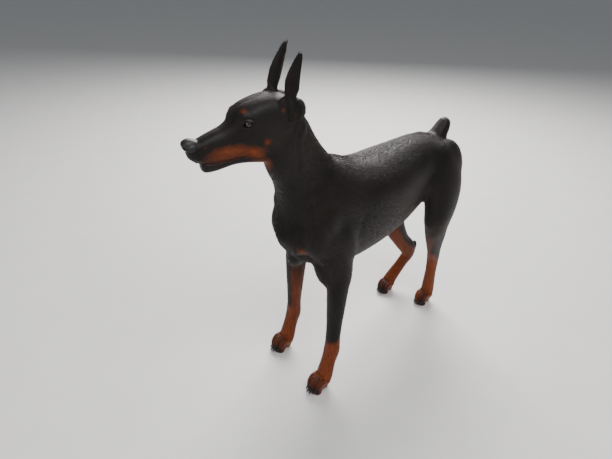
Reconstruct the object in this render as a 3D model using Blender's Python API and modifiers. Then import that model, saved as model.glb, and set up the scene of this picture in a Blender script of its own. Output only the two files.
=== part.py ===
"""A life-size standing Doberman pinscher with cropped ears and a docked tail, divided into its named parts.

Metres, +Z up. The dog looks along -Y and its left side is +X. The origin lies on the floor, under the
middle of the whole dog's box; while the dog is modelled, y = 0 is under the withers.
"""

import math
from collections import namedtuple

import bmesh
import bpy
import numpy as np
from mathutils import Matrix, Vector

# Driving dimensions
WITHERS_HEIGHT = 0.697
EAR_LENGTH = 0.118
EYE_RADIUS = 0.0115
LID = 0.0022
GAP = 0.0003
VOXEL = 0.004
SHIFT = Vector((-0.0038, -0.0937, 0.0))

# Pose of the head and places of the feet, before the shift
HEAD = (
    Matrix.Translation((0.020, -0.125, 0.828))
    @ Matrix.Rotation(math.radians(-12), 4, "Z")
    @ Matrix.Rotation(math.radians(6.5), 4, "X")
)
FORE_PAW = {"left": (0.110, -0.077), "right": (-0.103, -0.040)}
HIND_PAW = {"left": (0.040, 0.523), "right": (-0.099, 0.474)}
HOCK = {"left": (0.042, 0.536, 0.182), "right": (-0.072, 0.554, 0.159)}
STIFLE = {"left": (0.090, 0.445, 0.385), "right": (-0.091, 0.405, 0.385)}
SHANK_BOW = {"left": 0.000, "right": 0.018}
FORE_PAW_SIZE = (0.062, 0.090)
HIND_PAW_SIZE = (0.056, 0.088)
EYE = (0.0345, -0.1300, 0.0190)
EAR_SET = {"left": (0.000, 0.000, 0.975), "right": (0.008, 0.018, 1.035)}
SIDES = {"left": 1, "right": -1}

Ring = namedtuple("Ring", "x y z side back front taper power", defaults=(0.0, 1.0))


def clear_scene():
    for found in list(bpy.data.objects):
        bpy.data.objects.remove(found)


def smooth_steps(rows, steps):
    """Rows of numbers, with steps points on a smooth curve between each pair."""
    rows = np.array(rows, float)
    ends = np.vstack([2 * rows[0] - rows[1], rows, 2 * rows[-1] - rows[-2]])
    found = []
    for i in range(1, len(ends) - 2):
        p0, p1, p2, p3 = ends[i - 1 : i + 3]
        for k in range(steps):
            t = k / steps
            bend = (2 * p0 - 5 * p1 + 4 * p2 - p3) * t**2 + (3 * p1 - p0 - 3 * p2 + p3) * t**3
            found.append(0.5 * (2 * p1 + (p2 - p0) * t + bend))
    return np.array(found + [rows[-1]])


def skin_loops(bm, loops):
    around = len(loops[0])
    for a, b in zip(loops, loops[1:]):
        for k in range(around):
            m = (k + 1) % around
            bm.faces.new((a[k], a[m], b[m], b[k]))
    bm.faces.new(reversed(loops[0]))
    bm.faces.new(loops[-1])


def add_loft(bm, rings, place=Matrix.Identity(4), steps=4, around=28, side=Vector((1, 0, 0))):
    """Adds a closed loft through the rings. A ring spreads `side` to both sides, `back` and `front`
    across them; back is side x travel, which is up on the trunk and to the rear on a leg."""
    rows = smooth_steps([tuple(r) for r in rings], steps)
    centres = [Vector(r[:3]) for r in rows]
    loops = []
    for i, row in enumerate(rows):
        travel = (centres[min(i + 1, len(rows) - 1)] - centres[max(i - 1, 0)]).normalized()
        across = (side - travel * side.dot(travel)).normalized()
        rear = across.cross(travel)
        width, back, front, taper, power = row[3:]
        loop = []
        for k in range(around):
            c, s = math.cos(2 * math.pi * k / around), math.sin(2 * math.pi * k / around)
            u = math.copysign(abs(c) ** power, c) * width * (1 + taper * s)
            v = math.copysign(abs(s) ** power, s) * (back if s > 0 else front)
            loop.append(bm.verts.new(place @ (centres[i] + across * u + rear * v)))
        loops.append(loop)
    skin_loops(bm, loops)


def add_ball(bm, centre, radii, turn=(0, 0, 0), place=Matrix.Identity(4), parts=20):
    """Adds an ellipsoid, turned by angles in degrees about X, Y and Z."""
    matrix = place @ Matrix.Translation(centre)
    for axis, degrees in zip("ZYX", reversed(turn)):
        matrix = matrix @ Matrix.Rotation(math.radians(degrees), 4, axis)
    matrix = matrix @ Matrix.Diagonal((*radii, 1))
    bmesh.ops.create_uvsphere(bm, u_segments=parts, v_segments=parts * 3 // 5, radius=1, matrix=matrix)


def trunk_forms(bm):
    """The chest, belly and croup as one loft, with the muscles that show on it."""
    rings = [
        Ring(0, -0.146, 0.530, 0.010, 0.015, 0.015),
        Ring(0, -0.134, 0.525, 0.036, 0.050, 0.060),
        Ring(0, -0.100, 0.525, 0.062, 0.085, 0.120, 0.05),
        Ring(0, -0.060, 0.530, 0.082, 0.115, 0.165, 0.08),
        Ring(0, -0.020, 0.540, 0.094, 0.146, 0.192, 0.08),
        Ring(0, 0.030, 0.550, 0.103, WITHERS_HEIGHT - 0.560, 0.210, 0.05),
        Ring(0, 0.100, 0.550, 0.110, 0.110, 0.213),
        Ring(0, 0.180, 0.550, 0.113, 0.100, 0.204),
        Ring(0, 0.260, 0.555, 0.107, 0.100, 0.192),
        Ring(0, 0.330, 0.565, 0.093, 0.095, 0.178),
        Ring(0, 0.390, 0.575, 0.085, 0.088, 0.160),
        Ring(0, 0.450, 0.580, 0.084, 0.078, 0.130),
        Ring(0, 0.505, 0.580, 0.074, 0.060, 0.100),
        Ring(0, 0.542, 0.575, 0.050, 0.040, 0.055),
        Ring(0, 0.555, 0.575, 0.020, 0.015, 0.020),
    ]
    add_loft(bm, rings)
    # The two swells of the breast
    for sign in SIDES.values():
        add_ball(bm, (0.027 * sign, -0.092, 0.514), (0.036, 0.036, 0.082), (-14, 0, 0))


def neck_forms(bm):
    rings = [
        Ring(0.022, -0.180, 0.830, 0.036, 0.040, 0.045),
        Ring(0.019, -0.157, 0.790, 0.045, 0.068, 0.068),
        Ring(0.014, -0.130, 0.737, 0.050, 0.078, 0.077),
        Ring(0.007, -0.098, 0.690, 0.056, 0.083, 0.081),
        Ring(0.000, -0.064, 0.635, 0.070, 0.097, 0.092),
        Ring(0.000, -0.035, 0.575, 0.084, 0.104, 0.105),
    ]
    add_loft(bm, rings)


def tail_forms(bm):
    rings = [
        Ring(0, 0.494, 0.590, 0.030, 0.038, 0.026),
        Ring(0, 0.514, 0.630, 0.031, 0.033, 0.026),
        Ring(0, 0.536, 0.656, 0.028, 0.027, 0.024),
        Ring(0, 0.551, 0.679, 0.023, 0.021, 0.018),
        Ring(0, 0.557, 0.690, 0.010, 0.009, 0.009),
    ]
    add_loft(bm, rings)


def foreleg_forms(bm, name):
    sign = SIDES[name]
    x, y = FORE_PAW[name]
    foot = Vector((x, y + 0.014, 0.045))
    wrist = Vector((x, y + 0.037, 0.125))
    elbow = Vector((0.090 * sign, -0.006, 0.365))
    rings = [
        Ring(0.060 * sign, -0.050, 0.540, 0.020, 0.030, 0.030),
        Ring(0.066 * sign, -0.044, 0.500, 0.034, 0.056, 0.046),
        Ring(0.074 * sign, -0.026, 0.440, 0.036, 0.062, 0.046),
        Ring(*elbow, 0.032, 0.045, 0.036),
        Ring(*elbow.lerp(wrist, 0.15), 0.031, 0.036, 0.034),
        Ring(*elbow.lerp(wrist, 0.35), 0.0280, 0.031, 0.030),
        Ring(*elbow.lerp(wrist, 0.65), 0.0230, 0.025, 0.023),
        Ring(*elbow.lerp(wrist, 0.85), 0.0220, 0.023, 0.021),
        Ring(*wrist, 0.0245, 0.024, 0.022),
        Ring(*wrist.lerp(foot, 0.45), 0.0225, 0.020, 0.022),
        Ring(*foot, 0.026, 0.021, 0.025),
        Ring(foot.x, foot.y - 0.008, 0.020, 0.024, 0.021, 0.023),
    ]
    add_loft(bm, rings)
    # Shoulder blade and its root in the neck, upper arm, the long head behind it, breast muscle
    add_ball(bm, (0.062 * sign, -0.040, 0.555), (0.034, 0.060, 0.108), (-30, -13 * sign, 0))
    add_ball(bm, (0.046 * sign, -0.070, 0.590), (0.038, 0.050, 0.070), (-20, -14 * sign, 0))
    add_ball(bm, (0.066 * sign, -0.070, 0.475), (0.036, 0.040, 0.066), (25, 0, 0))
    add_ball(bm, (0.076 * sign, 0.014, 0.455), (0.033, 0.052, 0.082), (18, -3 * sign, 0))
    add_ball(bm, (0.056 * sign, -0.030, 0.385), (0.030, 0.036, 0.066), (0, -18 * sign, 0))
    # Point of the elbow and pad behind the wrist
    add_ball(bm, elbow + Vector((0.000 * sign, 0.038, 0.008)), (0.014, 0.015, 0.026))
    add_ball(bm, wrist + Vector((0, 0.020, -0.012)), (0.009, 0.009, 0.011))


def hindleg_forms(bm, name):
    sign = SIDES[name]
    x, y = HIND_PAW[name]
    foot = Vector((x, y + 0.010, 0.045))
    hock = Vector(HOCK[name])
    stifle = Vector(STIFLE[name])
    ahead = stifle.y - 0.420
    bow = Vector((0, SHANK_BOW[name], 0))
    rings = [
        Ring(0.038 * sign, 0.462, 0.632, 0.016, 0.030, 0.030),
        Ring(0.050 * sign, 0.460, 0.610, 0.036, 0.056, 0.056),
        Ring(0.062 * sign, 0.457 + ahead * 0.3, 0.555, 0.047, 0.082, 0.078),
        Ring(0.077 * sign, 0.454 + ahead * 0.7, 0.480, 0.048, 0.084, 0.078),
        Ring(*stifle, 0.037, 0.076, 0.046),
        Ring(*(stifle.lerp(hock, 0.35) - bow), 0.030, 0.056, 0.040),
        Ring(*(stifle.lerp(hock, 0.72) - bow), 0.0215, 0.034, 0.028 + bow.y * 0.15),
        Ring(*(hock - bow * 0.5), 0.0200, 0.025 + bow.y * 0.4, 0.025 + bow.y * 0.4),
        Ring(*hock.lerp(foot, 0.45), 0.0190, 0.021, 0.021),
        Ring(*foot, 0.024, 0.021, 0.023),
        Ring(foot.x, foot.y - 0.008, 0.020, 0.023, 0.020, 0.022),
    ]
    add_loft(bm, rings)
    # Rump, back of the thigh, kneecap and heel bone
    add_ball(bm, (0.053 * sign, 0.507 + ahead * 0.2, 0.548), (0.047, 0.063, 0.094), (12, 0, 0))
    add_ball(bm, (0.076 * sign, 0.483 + ahead * 0.6, 0.455), (0.038, 0.050, 0.100), (9, 0, 0))
    add_ball(bm, stifle + Vector((0, -0.036, 0.006)), (0.022, 0.019, 0.032))
    add_ball(bm, hock + Vector((0, 0.020, 0.012)), (0.010, 0.012, 0.022))


def toe_frames(centre, width, length):
    """Place, radius and reach of each toe, from the inner to the outer side."""
    x0, y0 = centre
    for across in (-0.345, -0.125, 0.125, 0.345):
        reach = length * (0.50 if abs(across) < 0.2 else 0.38)
        place = Matrix.Translation((x0, y0, 0)) @ Matrix.Rotation(-across * 0.4, 4, "Z")
        yield place, across * width, width * 0.15, reach


def paw_forms(bm, centre, width, length):
    """Arched toes side by side, with a pad under each and one behind them."""
    for place, x, r, reach in toe_frames(centre, width, length):
        rings = [
            Ring(x, 0.012, 0.034, r * 0.9, r, r),
            Ring(x, -reach * 0.40, 0.037, r, r, r * 1.2),
            Ring(x, -reach * 0.75, 0.027, r, r * 1.05, r * 1.2),
            Ring(x, -reach * 0.98, 0.014, r * 0.7, r * 0.7, r * 0.7),
        ]
        add_loft(bm, rings, place, around=16)
        add_ball(bm, (x, -reach * 0.72, 0.008), (r * 0.95, r * 1.4, 0.011), place=place, parts=12)
    x0, y0 = centre
    add_ball(bm, (x0, y0 + 0.006, 0.010), (width * 0.30, length * 0.21, 0.014))
    add_ball(bm, (x0, y0 - length * 0.12, 0.022), (width * 0.40, length * 0.30, 0.018))


def head_forms(bm):
    """Skull, muzzle, jaw and cheeks in the head's own frame: -Y to the nose, the origin at the occiput."""
    skull = [
        Ring(0, -0.271, -0.012, 0.010, 0.009, 0.012),
        Ring(0, -0.265, -0.014, 0.016, 0.015, 0.022),
        Ring(0, -0.253, -0.018, 0.0205, 0.019, 0.031, -0.05, 0.85),
        Ring(0, -0.236, -0.021, 0.0245, 0.0245, 0.037, -0.10, 0.80),
        Ring(0, -0.205, -0.020, 0.028, 0.031, 0.041, -0.14, 0.76),
        Ring(0, -0.175, -0.018, 0.032, 0.036, 0.045, -0.14, 0.76),
        Ring(0, -0.150, -0.010, 0.039, 0.039, 0.052, -0.05, 0.80),
        Ring(0, -0.128, 0.000, 0.047, 0.053, 0.055, 0.0, 0.74),
        Ring(0, -0.100, 0.003, 0.053, 0.0595, 0.058, 0.0, 0.74),
        Ring(0, -0.060, 0.003, 0.056, 0.0625, 0.060, 0.0, 0.78),
        Ring(0, -0.025, 0.000, 0.051, 0.0530, 0.057, 0.0, 0.9),
        Ring(0, 0.000, -0.004, 0.032, 0.030, 0.042),
    ]
    add_loft(bm, skull, HEAD)
    jaw = [
        Ring(0, -0.246, -0.063, 0.011, 0.009, 0.010),
        Ring(0, -0.239, -0.063, 0.0185, 0.014, 0.018, 0, 0.85),
        Ring(0, -0.210, -0.061, 0.021, 0.016, 0.022, 0, 0.85),
        Ring(0, -0.170, -0.059, 0.024, 0.020, 0.021, 0, 0.9),
        Ring(0, -0.135, -0.058, 0.033, 0.025, 0.027),
        Ring(0, -0.105, -0.054, 0.040, 0.030, 0.041),
        Ring(0, -0.065, -0.046, 0.042, 0.030, 0.054),
    ]
    add_loft(bm, jaw, HEAD)
    for sign in SIDES.values():
        # Cheek, brow ridge, cheekbone, the root of the ear behind, below and before it, and the lip's swell
        add_ball(bm, (0.029 * sign, -0.080, -0.026), (0.026, 0.044, 0.044), (-20, 0, 0), HEAD)
        add_ball(bm, (0.028 * sign, -0.133, 0.034), (0.015, 0.018, 0.013), (0, 14 * sign, 0), HEAD)
        add_ball(bm, (0.038 * sign, -0.115, -0.006), (0.014, 0.034, 0.011), (8, 0, -14 * sign), HEAD)
        add_ball(bm, (0.037 * sign, -0.014, 0.020), (0.020, 0.028, 0.034), (0, 12 * sign, 0), HEAD)
        add_ball(bm, (0.029 * sign, -0.010, -0.024), (0.022, 0.026, 0.044), place=HEAD)
        add_ball(bm, (0.043 * sign, -0.042, 0.040), (0.012, 0.020, 0.026), (-32, 0, 0), HEAD)
        add_ball(bm, (0.016 * sign, -0.238, -0.036), (0.0105, 0.024, 0.015), (-8, 0, 0), HEAD)


def remeshed(bm, name, voxel):
    """The forms as one closed skin of even faces."""
    bm.normal_update()
    bmesh.ops.recalc_face_normals(bm, faces=bm.faces)
    mesh = bpy.data.meshes.new(name)
    bm.to_mesh(mesh)
    bm.free()
    forms = bpy.data.objects.new(name, mesh)
    bpy.context.scene.collection.objects.link(forms)
    remesh = forms.modifiers.new("union", "REMESH")
    remesh.mode = "VOXEL"
    remesh.voxel_size = voxel
    joined = bpy.data.meshes.new_from_object(forms.evaluated_get(bpy.context.evaluated_depsgraph_get()))
    bpy.data.objects.remove(forms)
    return joined


def relax(mesh, rounds, chosen=lambda points: 1.0):
    """Moves each chosen point towards the mean of its neighbours, round after round."""
    count = len(mesh.vertices)
    points = np.empty(count * 3)
    mesh.vertices.foreach_get("co", points)
    points = points.reshape(-1, 3)
    ends = np.empty(len(mesh.edges) * 2, int)
    mesh.edges.foreach_get("vertices", ends)
    a, b = ends.reshape(-1, 2).T
    near = np.bincount(a, minlength=count) + np.bincount(b, minlength=count)
    share = np.reshape(0.5 * chosen(points), (-1, 1))
    for _ in range(rounds):
        total = np.empty_like(points)
        for axis in range(3):
            total[:, axis] = np.bincount(a, points[b, axis], count)
            total[:, axis] += np.bincount(b, points[a, axis], count)
        points += share * (total / near[:, None] - points)
    mesh.vertices.foreach_set("co", points.ravel())
    mesh.update()


def broad_forms(points):
    """1 on the trunk and the upper legs, fading to 0 at the head and towards the feet."""
    x, y, z = points.T
    above_feet = np.clip((z - 0.24) / 0.12, 0, 1)
    behind_head = np.clip((y + 0.16 - 0.9 * (z - 0.70)) / 0.05, 0, 1)
    return above_feet * np.where(z > 0.62, behind_head, 1)


def whole_body():
    bm = bmesh.new()
    trunk_forms(bm)
    neck_forms(bm)
    tail_forms(bm)
    head_forms(bm)
    for name in SIDES:
        foreleg_forms(bm, name)
        hindleg_forms(bm, name)
        paw_forms(bm, FORE_PAW[name], *FORE_PAW_SIZE)
        paw_forms(bm, HIND_PAW[name], *HIND_PAW_SIZE)
    mesh = remeshed(bm, "body", VOXEL)
    relax(mesh, 4)
    relax(mesh, 36, broad_forms)
    return mesh


def new_object(name, mesh, collection=None):
    made = bpy.data.objects.new(name, mesh)
    (collection or bpy.context.scene.collection).objects.link(made)
    return made


def from_forms(name, bm, collection=None):
    bm.normal_update()
    bmesh.ops.recalc_face_normals(bm, faces=bm.faces)
    mesh = bpy.data.meshes.new(name)
    bm.to_mesh(mesh)
    bm.free()
    return new_object(name, mesh, collection)


def apply_modifiers(part):
    mesh = bpy.data.meshes.new_from_object(part.evaluated_get(bpy.context.evaluated_depsgraph_get()))
    part.modifiers.clear()
    part.data = mesh


def thinned(mesh, name, triangles):
    """A copy of the skin with about so many triangles."""
    part = new_object(name, mesh.copy())
    thin = part.modifiers.new("thin", "DECIMATE")
    thin.ratio = triangles / (2 * len(mesh.polygons))
    apply_modifiers(part)
    return part


def combine(part, tool, operation, solver="EXACT"):
    change = part.modifiers.new(tool.name, "BOOLEAN")
    change.operation = operation
    change.object = tool
    change.solver = solver
    apply_modifiers(part)


def box(name, top, turn, size, grow=0.0):
    """A box under its top face. It is turned by angles in degrees about X, Y and Z round the top."""
    bm = bmesh.new()
    bmesh.ops.create_cube(bm, size=1)
    spread = Vector(size) + Vector((2, 2, 2)) * grow
    for vert in bm.verts:
        vert.co = Vector((vert.co.x * spread.x, vert.co.y * spread.y, vert.co.z * spread.z - size[2] / 2))
    matrix = Matrix.Translation(top)
    for axis, degrees in zip("ZYX", reversed(turn)):
        matrix = matrix @ Matrix.Rotation(math.radians(degrees), 4, axis)
    bm.transform(matrix)
    return from_forms(name, bm)


def take(name, rest, source, top, turn, size):
    """Splits off the share of the source in a box, and opens the gap in the rest."""
    inner = box(name + "_inside", top, turn, size)
    outer = box(name + "_outside", top, turn, size, GAP)
    piece = new_object(name, source.data.copy())
    combine(piece, inner, "INTERSECT")
    combine(rest, outer, "DIFFERENCE")
    bpy.data.objects.remove(inner)
    bpy.data.objects.remove(outer)
    return piece


def inflated(part, by):
    copy = new_object(part.name + "_round", part.data.copy())
    for vert in copy.data.vertices:
        vert.co += vert.normal * by
    return copy


def seat(part, holder, by=GAP * 1.4):
    """Takes the room of one part, and a thin gap round it, out of its holder."""
    room = inflated(part, by)
    combine(holder, room, "DIFFERENCE")
    bpy.data.objects.remove(room)


def ear_rows(side, steps):
    """Rows up one ear: the middle of its open side, the way across it, the way it faces, and its sizes."""
    bow, curl, stretch = EAR_SET[side]
    rows = smooth_steps(
        [
            # back, out and up along the ear, half its width, its hollow and its thickness
            (-0.031, 0.0475, 0.002, 0.0080, 0.003, 0.016),
            (-0.027, 0.0530, 0.014, 0.0170, 0.009, 0.017),
            (-0.025, 0.0550, 0.030, 0.0195, 0.012, 0.014),
            (-0.029, 0.0545, 0.052, 0.0150, 0.011, 0.0100),
            (-0.0255, 0.0535, 0.075, 0.0180, 0.010, 0.0065),
            (-0.021, 0.0525, 0.096, 0.0190, 0.008, 0.0050),
            (-0.014, 0.0515, 0.114, 0.0165, 0.005, 0.0045),
            (-0.006, 0.0505, 0.130, 0.0130, 0.0025, 0.0042),
            (0.001, 0.0500, 0.144, 0.0088, 0.001, 0.0038),
            (0.006, 0.0490, 0.034 + EAR_LENGTH, 0.0048, 0.000, 0.0030),
        ],
        steps,
    )
    sign = SIDES[side]
    facing = Vector((math.sin(math.radians(86)) * sign, -math.cos(math.radians(86)), 0.10)).normalized()
    across = facing.cross(Vector((0, 0.15, 1))).normalized()
    for y, x, z, width, hollow, thick in rows:
        up = max(0.0, (z - 0.034) / EAR_LENGTH)
        y += bow * math.sin(math.pi * min(up, 1)) + curl * up**2
        z = min(z, 0.034) + max(0.0, z - 0.034) * stretch
        yield Vector((x * sign, y, z)), across, facing, width, hollow, thick


def ear_form(name, rows, columns, outer=None):
    """The leaf of an ear, or with outer given the room in its cup, out to that distance."""
    bm = bmesh.new()
    loops = []
    last = columns - 1
    for centre, across, facing, width, hollow, thick in rows:
        loop = []
        for k in range(columns):
            s = -1 + 2 * k / last
            inner = hollow * (1 - s * s)
            if outer is not None:
                inner += 0.0005
            loop.append(centre + across * (s * width) - facing * inner)
        for k in range(columns):
            s = 1 - 2 * k / last
            depth = hollow * (1 - s * s) + thick * (0.35 + 0.65 * (1 - s * s))
            if outer is not None:
                depth = -outer
            loop.append(centre + across * (s * width) - facing * depth)
        loops.append([bm.verts.new(HEAD @ p) for p in loop])
    skin_loops(bm, loops)
    return from_forms(name, bm)


def nose(name):
    bm = bmesh.new()
    rings = [
        Ring(0, -0.249, -0.011, 0.012, 0.009, 0.010),
        Ring(0, -0.256, -0.010, 0.0160, 0.0130, 0.0150),
        Ring(0, -0.266, -0.009, 0.0165, 0.0130, 0.0170, 0.1),
        Ring(0, -0.274, -0.009, 0.0145, 0.0112, 0.0145, 0.1),
        Ring(0, -0.2785, -0.010, 0.0080, 0.0070, 0.0085),
    ]
    add_loft(bm, rings, HEAD, steps=1, around=14)
    leather = from_forms(name, bm)
    for sign in SIDES.values():
        bm = bmesh.new()
        spot = (0.0088 * sign, -0.2770, -0.0090)
        add_ball(bm, spot, (0.0042, 0.0085, 0.0034), (0, 25 * sign, 24 * sign), HEAD, 10)
        nostril = from_forms("nostril", bm)
        combine(leather, nostril, "DIFFERENCE")
        bpy.data.objects.remove(nostril)
    return leather


def claws(name, centre, size, paw):
    """The claws of one paw, each seated in the tip of its toe."""
    found = []
    for i, (place, x, r, reach) in enumerate(toe_frames(centre, *size)):
        bm = bmesh.new()
        rings = [
            Ring(x, -reach * 0.86, 0.0190, 0.0026, 0.0034, 0.0030),
            Ring(x, -reach * 0.86 - 0.006, 0.0170, 0.0026, 0.0034, 0.0030),
            Ring(x, -reach * 0.86 - 0.012, 0.0125, 0.0020, 0.0026, 0.0023),
            Ring(x, -reach * 0.86 - 0.015, 0.0080, 0.0009, 0.0011, 0.0011),
        ]
        add_loft(bm, rings, place, steps=1, around=7)
        claw = from_forms("%s_%d" % (name, i + 1), bm)
        seat(claw, paw)
        found.append(claw)
    return found


def eye_and_lids(name, sign, head):
    """The eyeball, with lids round an almond opening in the head."""
    centre = Vector((EYE[0] * sign, EYE[1], EYE[2]))
    bm = bmesh.new()
    add_ball(bm, centre, (EYE_RADIUS,) * 3, place=HEAD, parts=15)
    ball = from_forms(name, bm)
    bm = bmesh.new()
    add_ball(bm, centre, (EYE_RADIUS + LID,) * 3, place=HEAD, parts=20)
    lids = from_forms(name + "_lids", bm)
    combine(head, lids, "UNION")
    bpy.data.objects.remove(lids)
    seat(ball, head, GAP * 1.6)
    bm = bmesh.new()
    turn = Matrix.Rotation(math.radians(54 * sign), 4, "Z") @ Matrix.Rotation(math.radians(-10 * sign), 4, "Y")
    add_ball(bm, (0, -0.014, 0), (0.0105, 0.0140, 0.0058), place=HEAD @ Matrix.Translation(centre) @ turn, parts=20)
    opening = from_forms(name + "_opening", bm)
    combine(head, opening, "DIFFERENCE")
    bpy.data.objects.remove(opening)
    return ball


def mouth_line(head):
    """A narrow groove between the lips, from below the nose to both corners."""
    for sign in SIDES.values():
        rows = smooth_steps(
            [
                (0.000, -0.2520, -0.0480),
                (0.012, -0.2460, -0.0510),
                (0.0200, -0.2320, -0.0560),
                (0.0235, -0.2080, -0.0590),
                (0.0275, -0.1800, -0.0600),
                (0.0330, -0.1560, -0.0590),
                (0.0400, -0.1400, -0.0600),
            ],
            3,
        )
        bm = bmesh.new()
        rings = [Ring(x * sign, y, z, 0.0045, 0.0009, 0.0009) for x, y, z in rows]
        add_loft(bm, rings, HEAD, steps=1, around=10)
        groove = from_forms("groove", bm)
        combine(head, groove, "DIFFERENCE")
        bpy.data.objects.remove(groove)


def material(name, colour, roughness):
    made = bpy.data.materials.new(name)
    made.use_nodes = True
    shader = made.node_tree.nodes["Principled BSDF"]
    shader.inputs["Base Color"].default_value = (*colour, 1)
    shader.inputs["Roughness"].default_value = roughness
    return made


def build():
    clear_scene()
    whole = whole_body()
    dense = thinned(whole, "dense", 15700)
    trunk = thinned(whole, "torso", 5400)
    floor = box("floor", (0, 0.2, 0), (0, 0, 0), (1, 2, 0.1))
    combine(dense, floor, "DIFFERENCE")
    combine(trunk, floor, "DIFFERENCE")
    bpy.data.objects.remove(floor)

    parts = []
    head = take("head", trunk, dense, (0.016, -0.128, 0.752), (-128, 0, 0), (0.26, 0.42, 0.45))
    parts.append(take("neck", trunk, trunk, (0, -0.073, 0.638), (-144.5, 0, 0), (0.30, 0.26, 0.25)))
    parts.append(take("tail", trunk, trunk, (0, 0.518, 0.648), (159.5, 0, 0), (0.08, 0.09, 0.10)))
    for side, sign in SIDES.items():
        x, y = FORE_PAW[side]
        paw = take("forepaw_" + side, trunk, dense, (x, y + 0.0, 0.094), (0, 0, 0), (0.11, 0.18, 0.11))
        parts += [paw] + claws("foreclaw_" + side, FORE_PAW[side], FORE_PAW_SIZE, paw)
        top = (0.091 * sign, 0.010, 0.338)
        parts.append(take("forearm_" + side, trunk, trunk, top, (0, 0, 0), (0.13, 0.24, 0.30)))
        top = (0.080 * sign, -0.055, 0.400)
        parts.append(take("upper_arm_" + side, trunk, trunk, top, (0, -62 * sign, 0), (0.40, 0.27, 0.14)))

        x, y = HIND_PAW[side]
        paw = take("hindpaw_" + side, trunk, dense, (x, y - 0.005, 0.072), (0, 0, 0), (0.10, 0.17, 0.09))
        parts += [paw] + claws("hindclaw_" + side, HIND_PAW[side], HIND_PAW_SIZE, paw)
        hock = Vector(HOCK[side])
        top = hock + Vector((0, 0.005, -0.022))
        parts.append(take("hock_" + side, trunk, trunk, top, (4, 0, 0), (0.13, 0.28, 0.15)))
        top = hock.lerp(Vector(STIFLE[side]), 0.78)
        parts.append(take("shank_" + side, trunk, trunk, top, (24, 0, 0), (0.13, 0.26, 0.28)))
        top = (0.070 * sign, 0.468, 0.500)
        parts.append(take("thigh_" + side, trunk, trunk, top, (0, -68 * sign, 0), (0.36, 0.24, 0.16)))

    leather = nose("nose")
    seat(leather, head)
    parts += [head, leather, trunk]
    mouth_line(head)
    for side, sign in SIDES.items():
        parts.append(eye_and_lids("eye_" + side, sign, head))
        room = ear_form("room", list(ear_rows(side, 2))[:9], 7, 0.03)
        combine(head, room, "DIFFERENCE")
        bpy.data.objects.remove(room)
        blade = ear_form("ear_" + side, ear_rows(side, 2), 7)
        seat(blade, head)
        parts.append(blade)
    bpy.data.objects.remove(dense)
    finish(parts)


def keep_largest(part):
    """Drops the crumbs that a cut leaves beside its part."""
    bm = bmesh.new()
    bm.from_mesh(part.data)
    left = set(bm.verts)
    bodies = []
    while left:
        body = set()
        front = {left.pop()}
        while front:
            body |= front
            front = {e.other_vert(v) for v in front for e in v.link_edges} - body
        left -= body
        bodies.append(body)
    bodies.sort(key=len)
    crumbs = [v for body in bodies[:-1] for v in body]
    bmesh.ops.delete(bm, geom=crumbs, context="VERTS")
    bm.to_mesh(part.data)
    bm.free()


def finish(parts):
    """Moves the dog so that its box stands over the origin, and gives each part its own material."""
    dog = bpy.data.collections.new("doberman_pinscher")
    bpy.context.scene.collection.children.link(dog)
    coat = (0.020, 0.016, 0.014)
    tan = (0.260, 0.085, 0.025)
    for part in parts:
        for user in list(part.users_collection):
            user.objects.unlink(part)
        dog.objects.link(part)
        keep_largest(part)
        part.data.transform(Matrix.Translation(SHIFT))
        colour, roughness = coat, 0.55
        if part.name.startswith(("forepaw", "hindpaw", "hock")):
            colour = tan
        if part.name.startswith("eye"):
            colour, roughness = (0.030, 0.012, 0.006), 0.08
        if "claw" in part.name or part.name == "nose":
            colour, roughness = (0.012, 0.011, 0.011), 0.35
        part.data.materials.clear()
        part.data.materials.append(material(part.name, colour, roughness))


build()
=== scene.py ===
import math
from collections import namedtuple
from functools import reduce

import bmesh
import bpy
import numpy as np
from mathutils import Matrix, Vector
from mathutils.bvhtree import BVHTree


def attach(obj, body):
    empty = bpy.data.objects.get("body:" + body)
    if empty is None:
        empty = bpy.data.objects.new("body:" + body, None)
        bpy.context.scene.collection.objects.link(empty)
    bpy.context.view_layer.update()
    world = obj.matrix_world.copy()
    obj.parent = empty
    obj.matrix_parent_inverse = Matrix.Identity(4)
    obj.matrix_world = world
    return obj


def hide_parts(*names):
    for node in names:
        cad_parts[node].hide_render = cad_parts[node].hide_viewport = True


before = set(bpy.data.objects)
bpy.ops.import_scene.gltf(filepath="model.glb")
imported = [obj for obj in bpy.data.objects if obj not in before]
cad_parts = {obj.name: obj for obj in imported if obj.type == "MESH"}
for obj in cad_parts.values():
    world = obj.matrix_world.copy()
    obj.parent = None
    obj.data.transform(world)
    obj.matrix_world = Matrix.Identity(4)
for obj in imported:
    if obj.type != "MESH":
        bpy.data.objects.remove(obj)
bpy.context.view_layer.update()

# The studio: a plain pale floor, a large soft key lamp high on the dog's left, a wide lamp behind it on its
# right, which brings out the sheen of the coat, and a weak one in front. The camera stands where the
# photograph was taken, a little ahead of the dog's left shoulder and above it.
SHIFT = Vector((-0.0038, -0.0937, 0.0))  # brings the middle of the dog's box over the origin


def placed(name, data):
    """A new object in the scene."""
    made = bpy.data.objects.new(name, data)
    bpy.context.scene.collection.objects.link(made)
    return made


camera_data = bpy.data.cameras.new("camera")
camera_data.lens = 32.8
camera_data.sensor_width = 36
camera = placed("camera", camera_data)
bpy.context.scene.camera = camera
turn, tip, roll = math.radians(-46.915), math.radians(28.319), math.radians(-1.635)
ahead = Vector((math.sin(turn) * math.cos(tip), math.cos(turn) * math.cos(tip), -math.sin(tip)))
level = Vector((math.cos(turn), -math.sin(turn), 0))
below = ahead.cross(level)
right = math.cos(roll) * level + math.sin(roll) * below
upward = math.sin(roll) * level - math.cos(roll) * below
camera.matrix_world = Matrix((right, upward, -ahead)).transposed().to_4x4()
camera.location = Vector((0.9882, -0.9782, 1.2130)) + SHIFT


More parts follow.
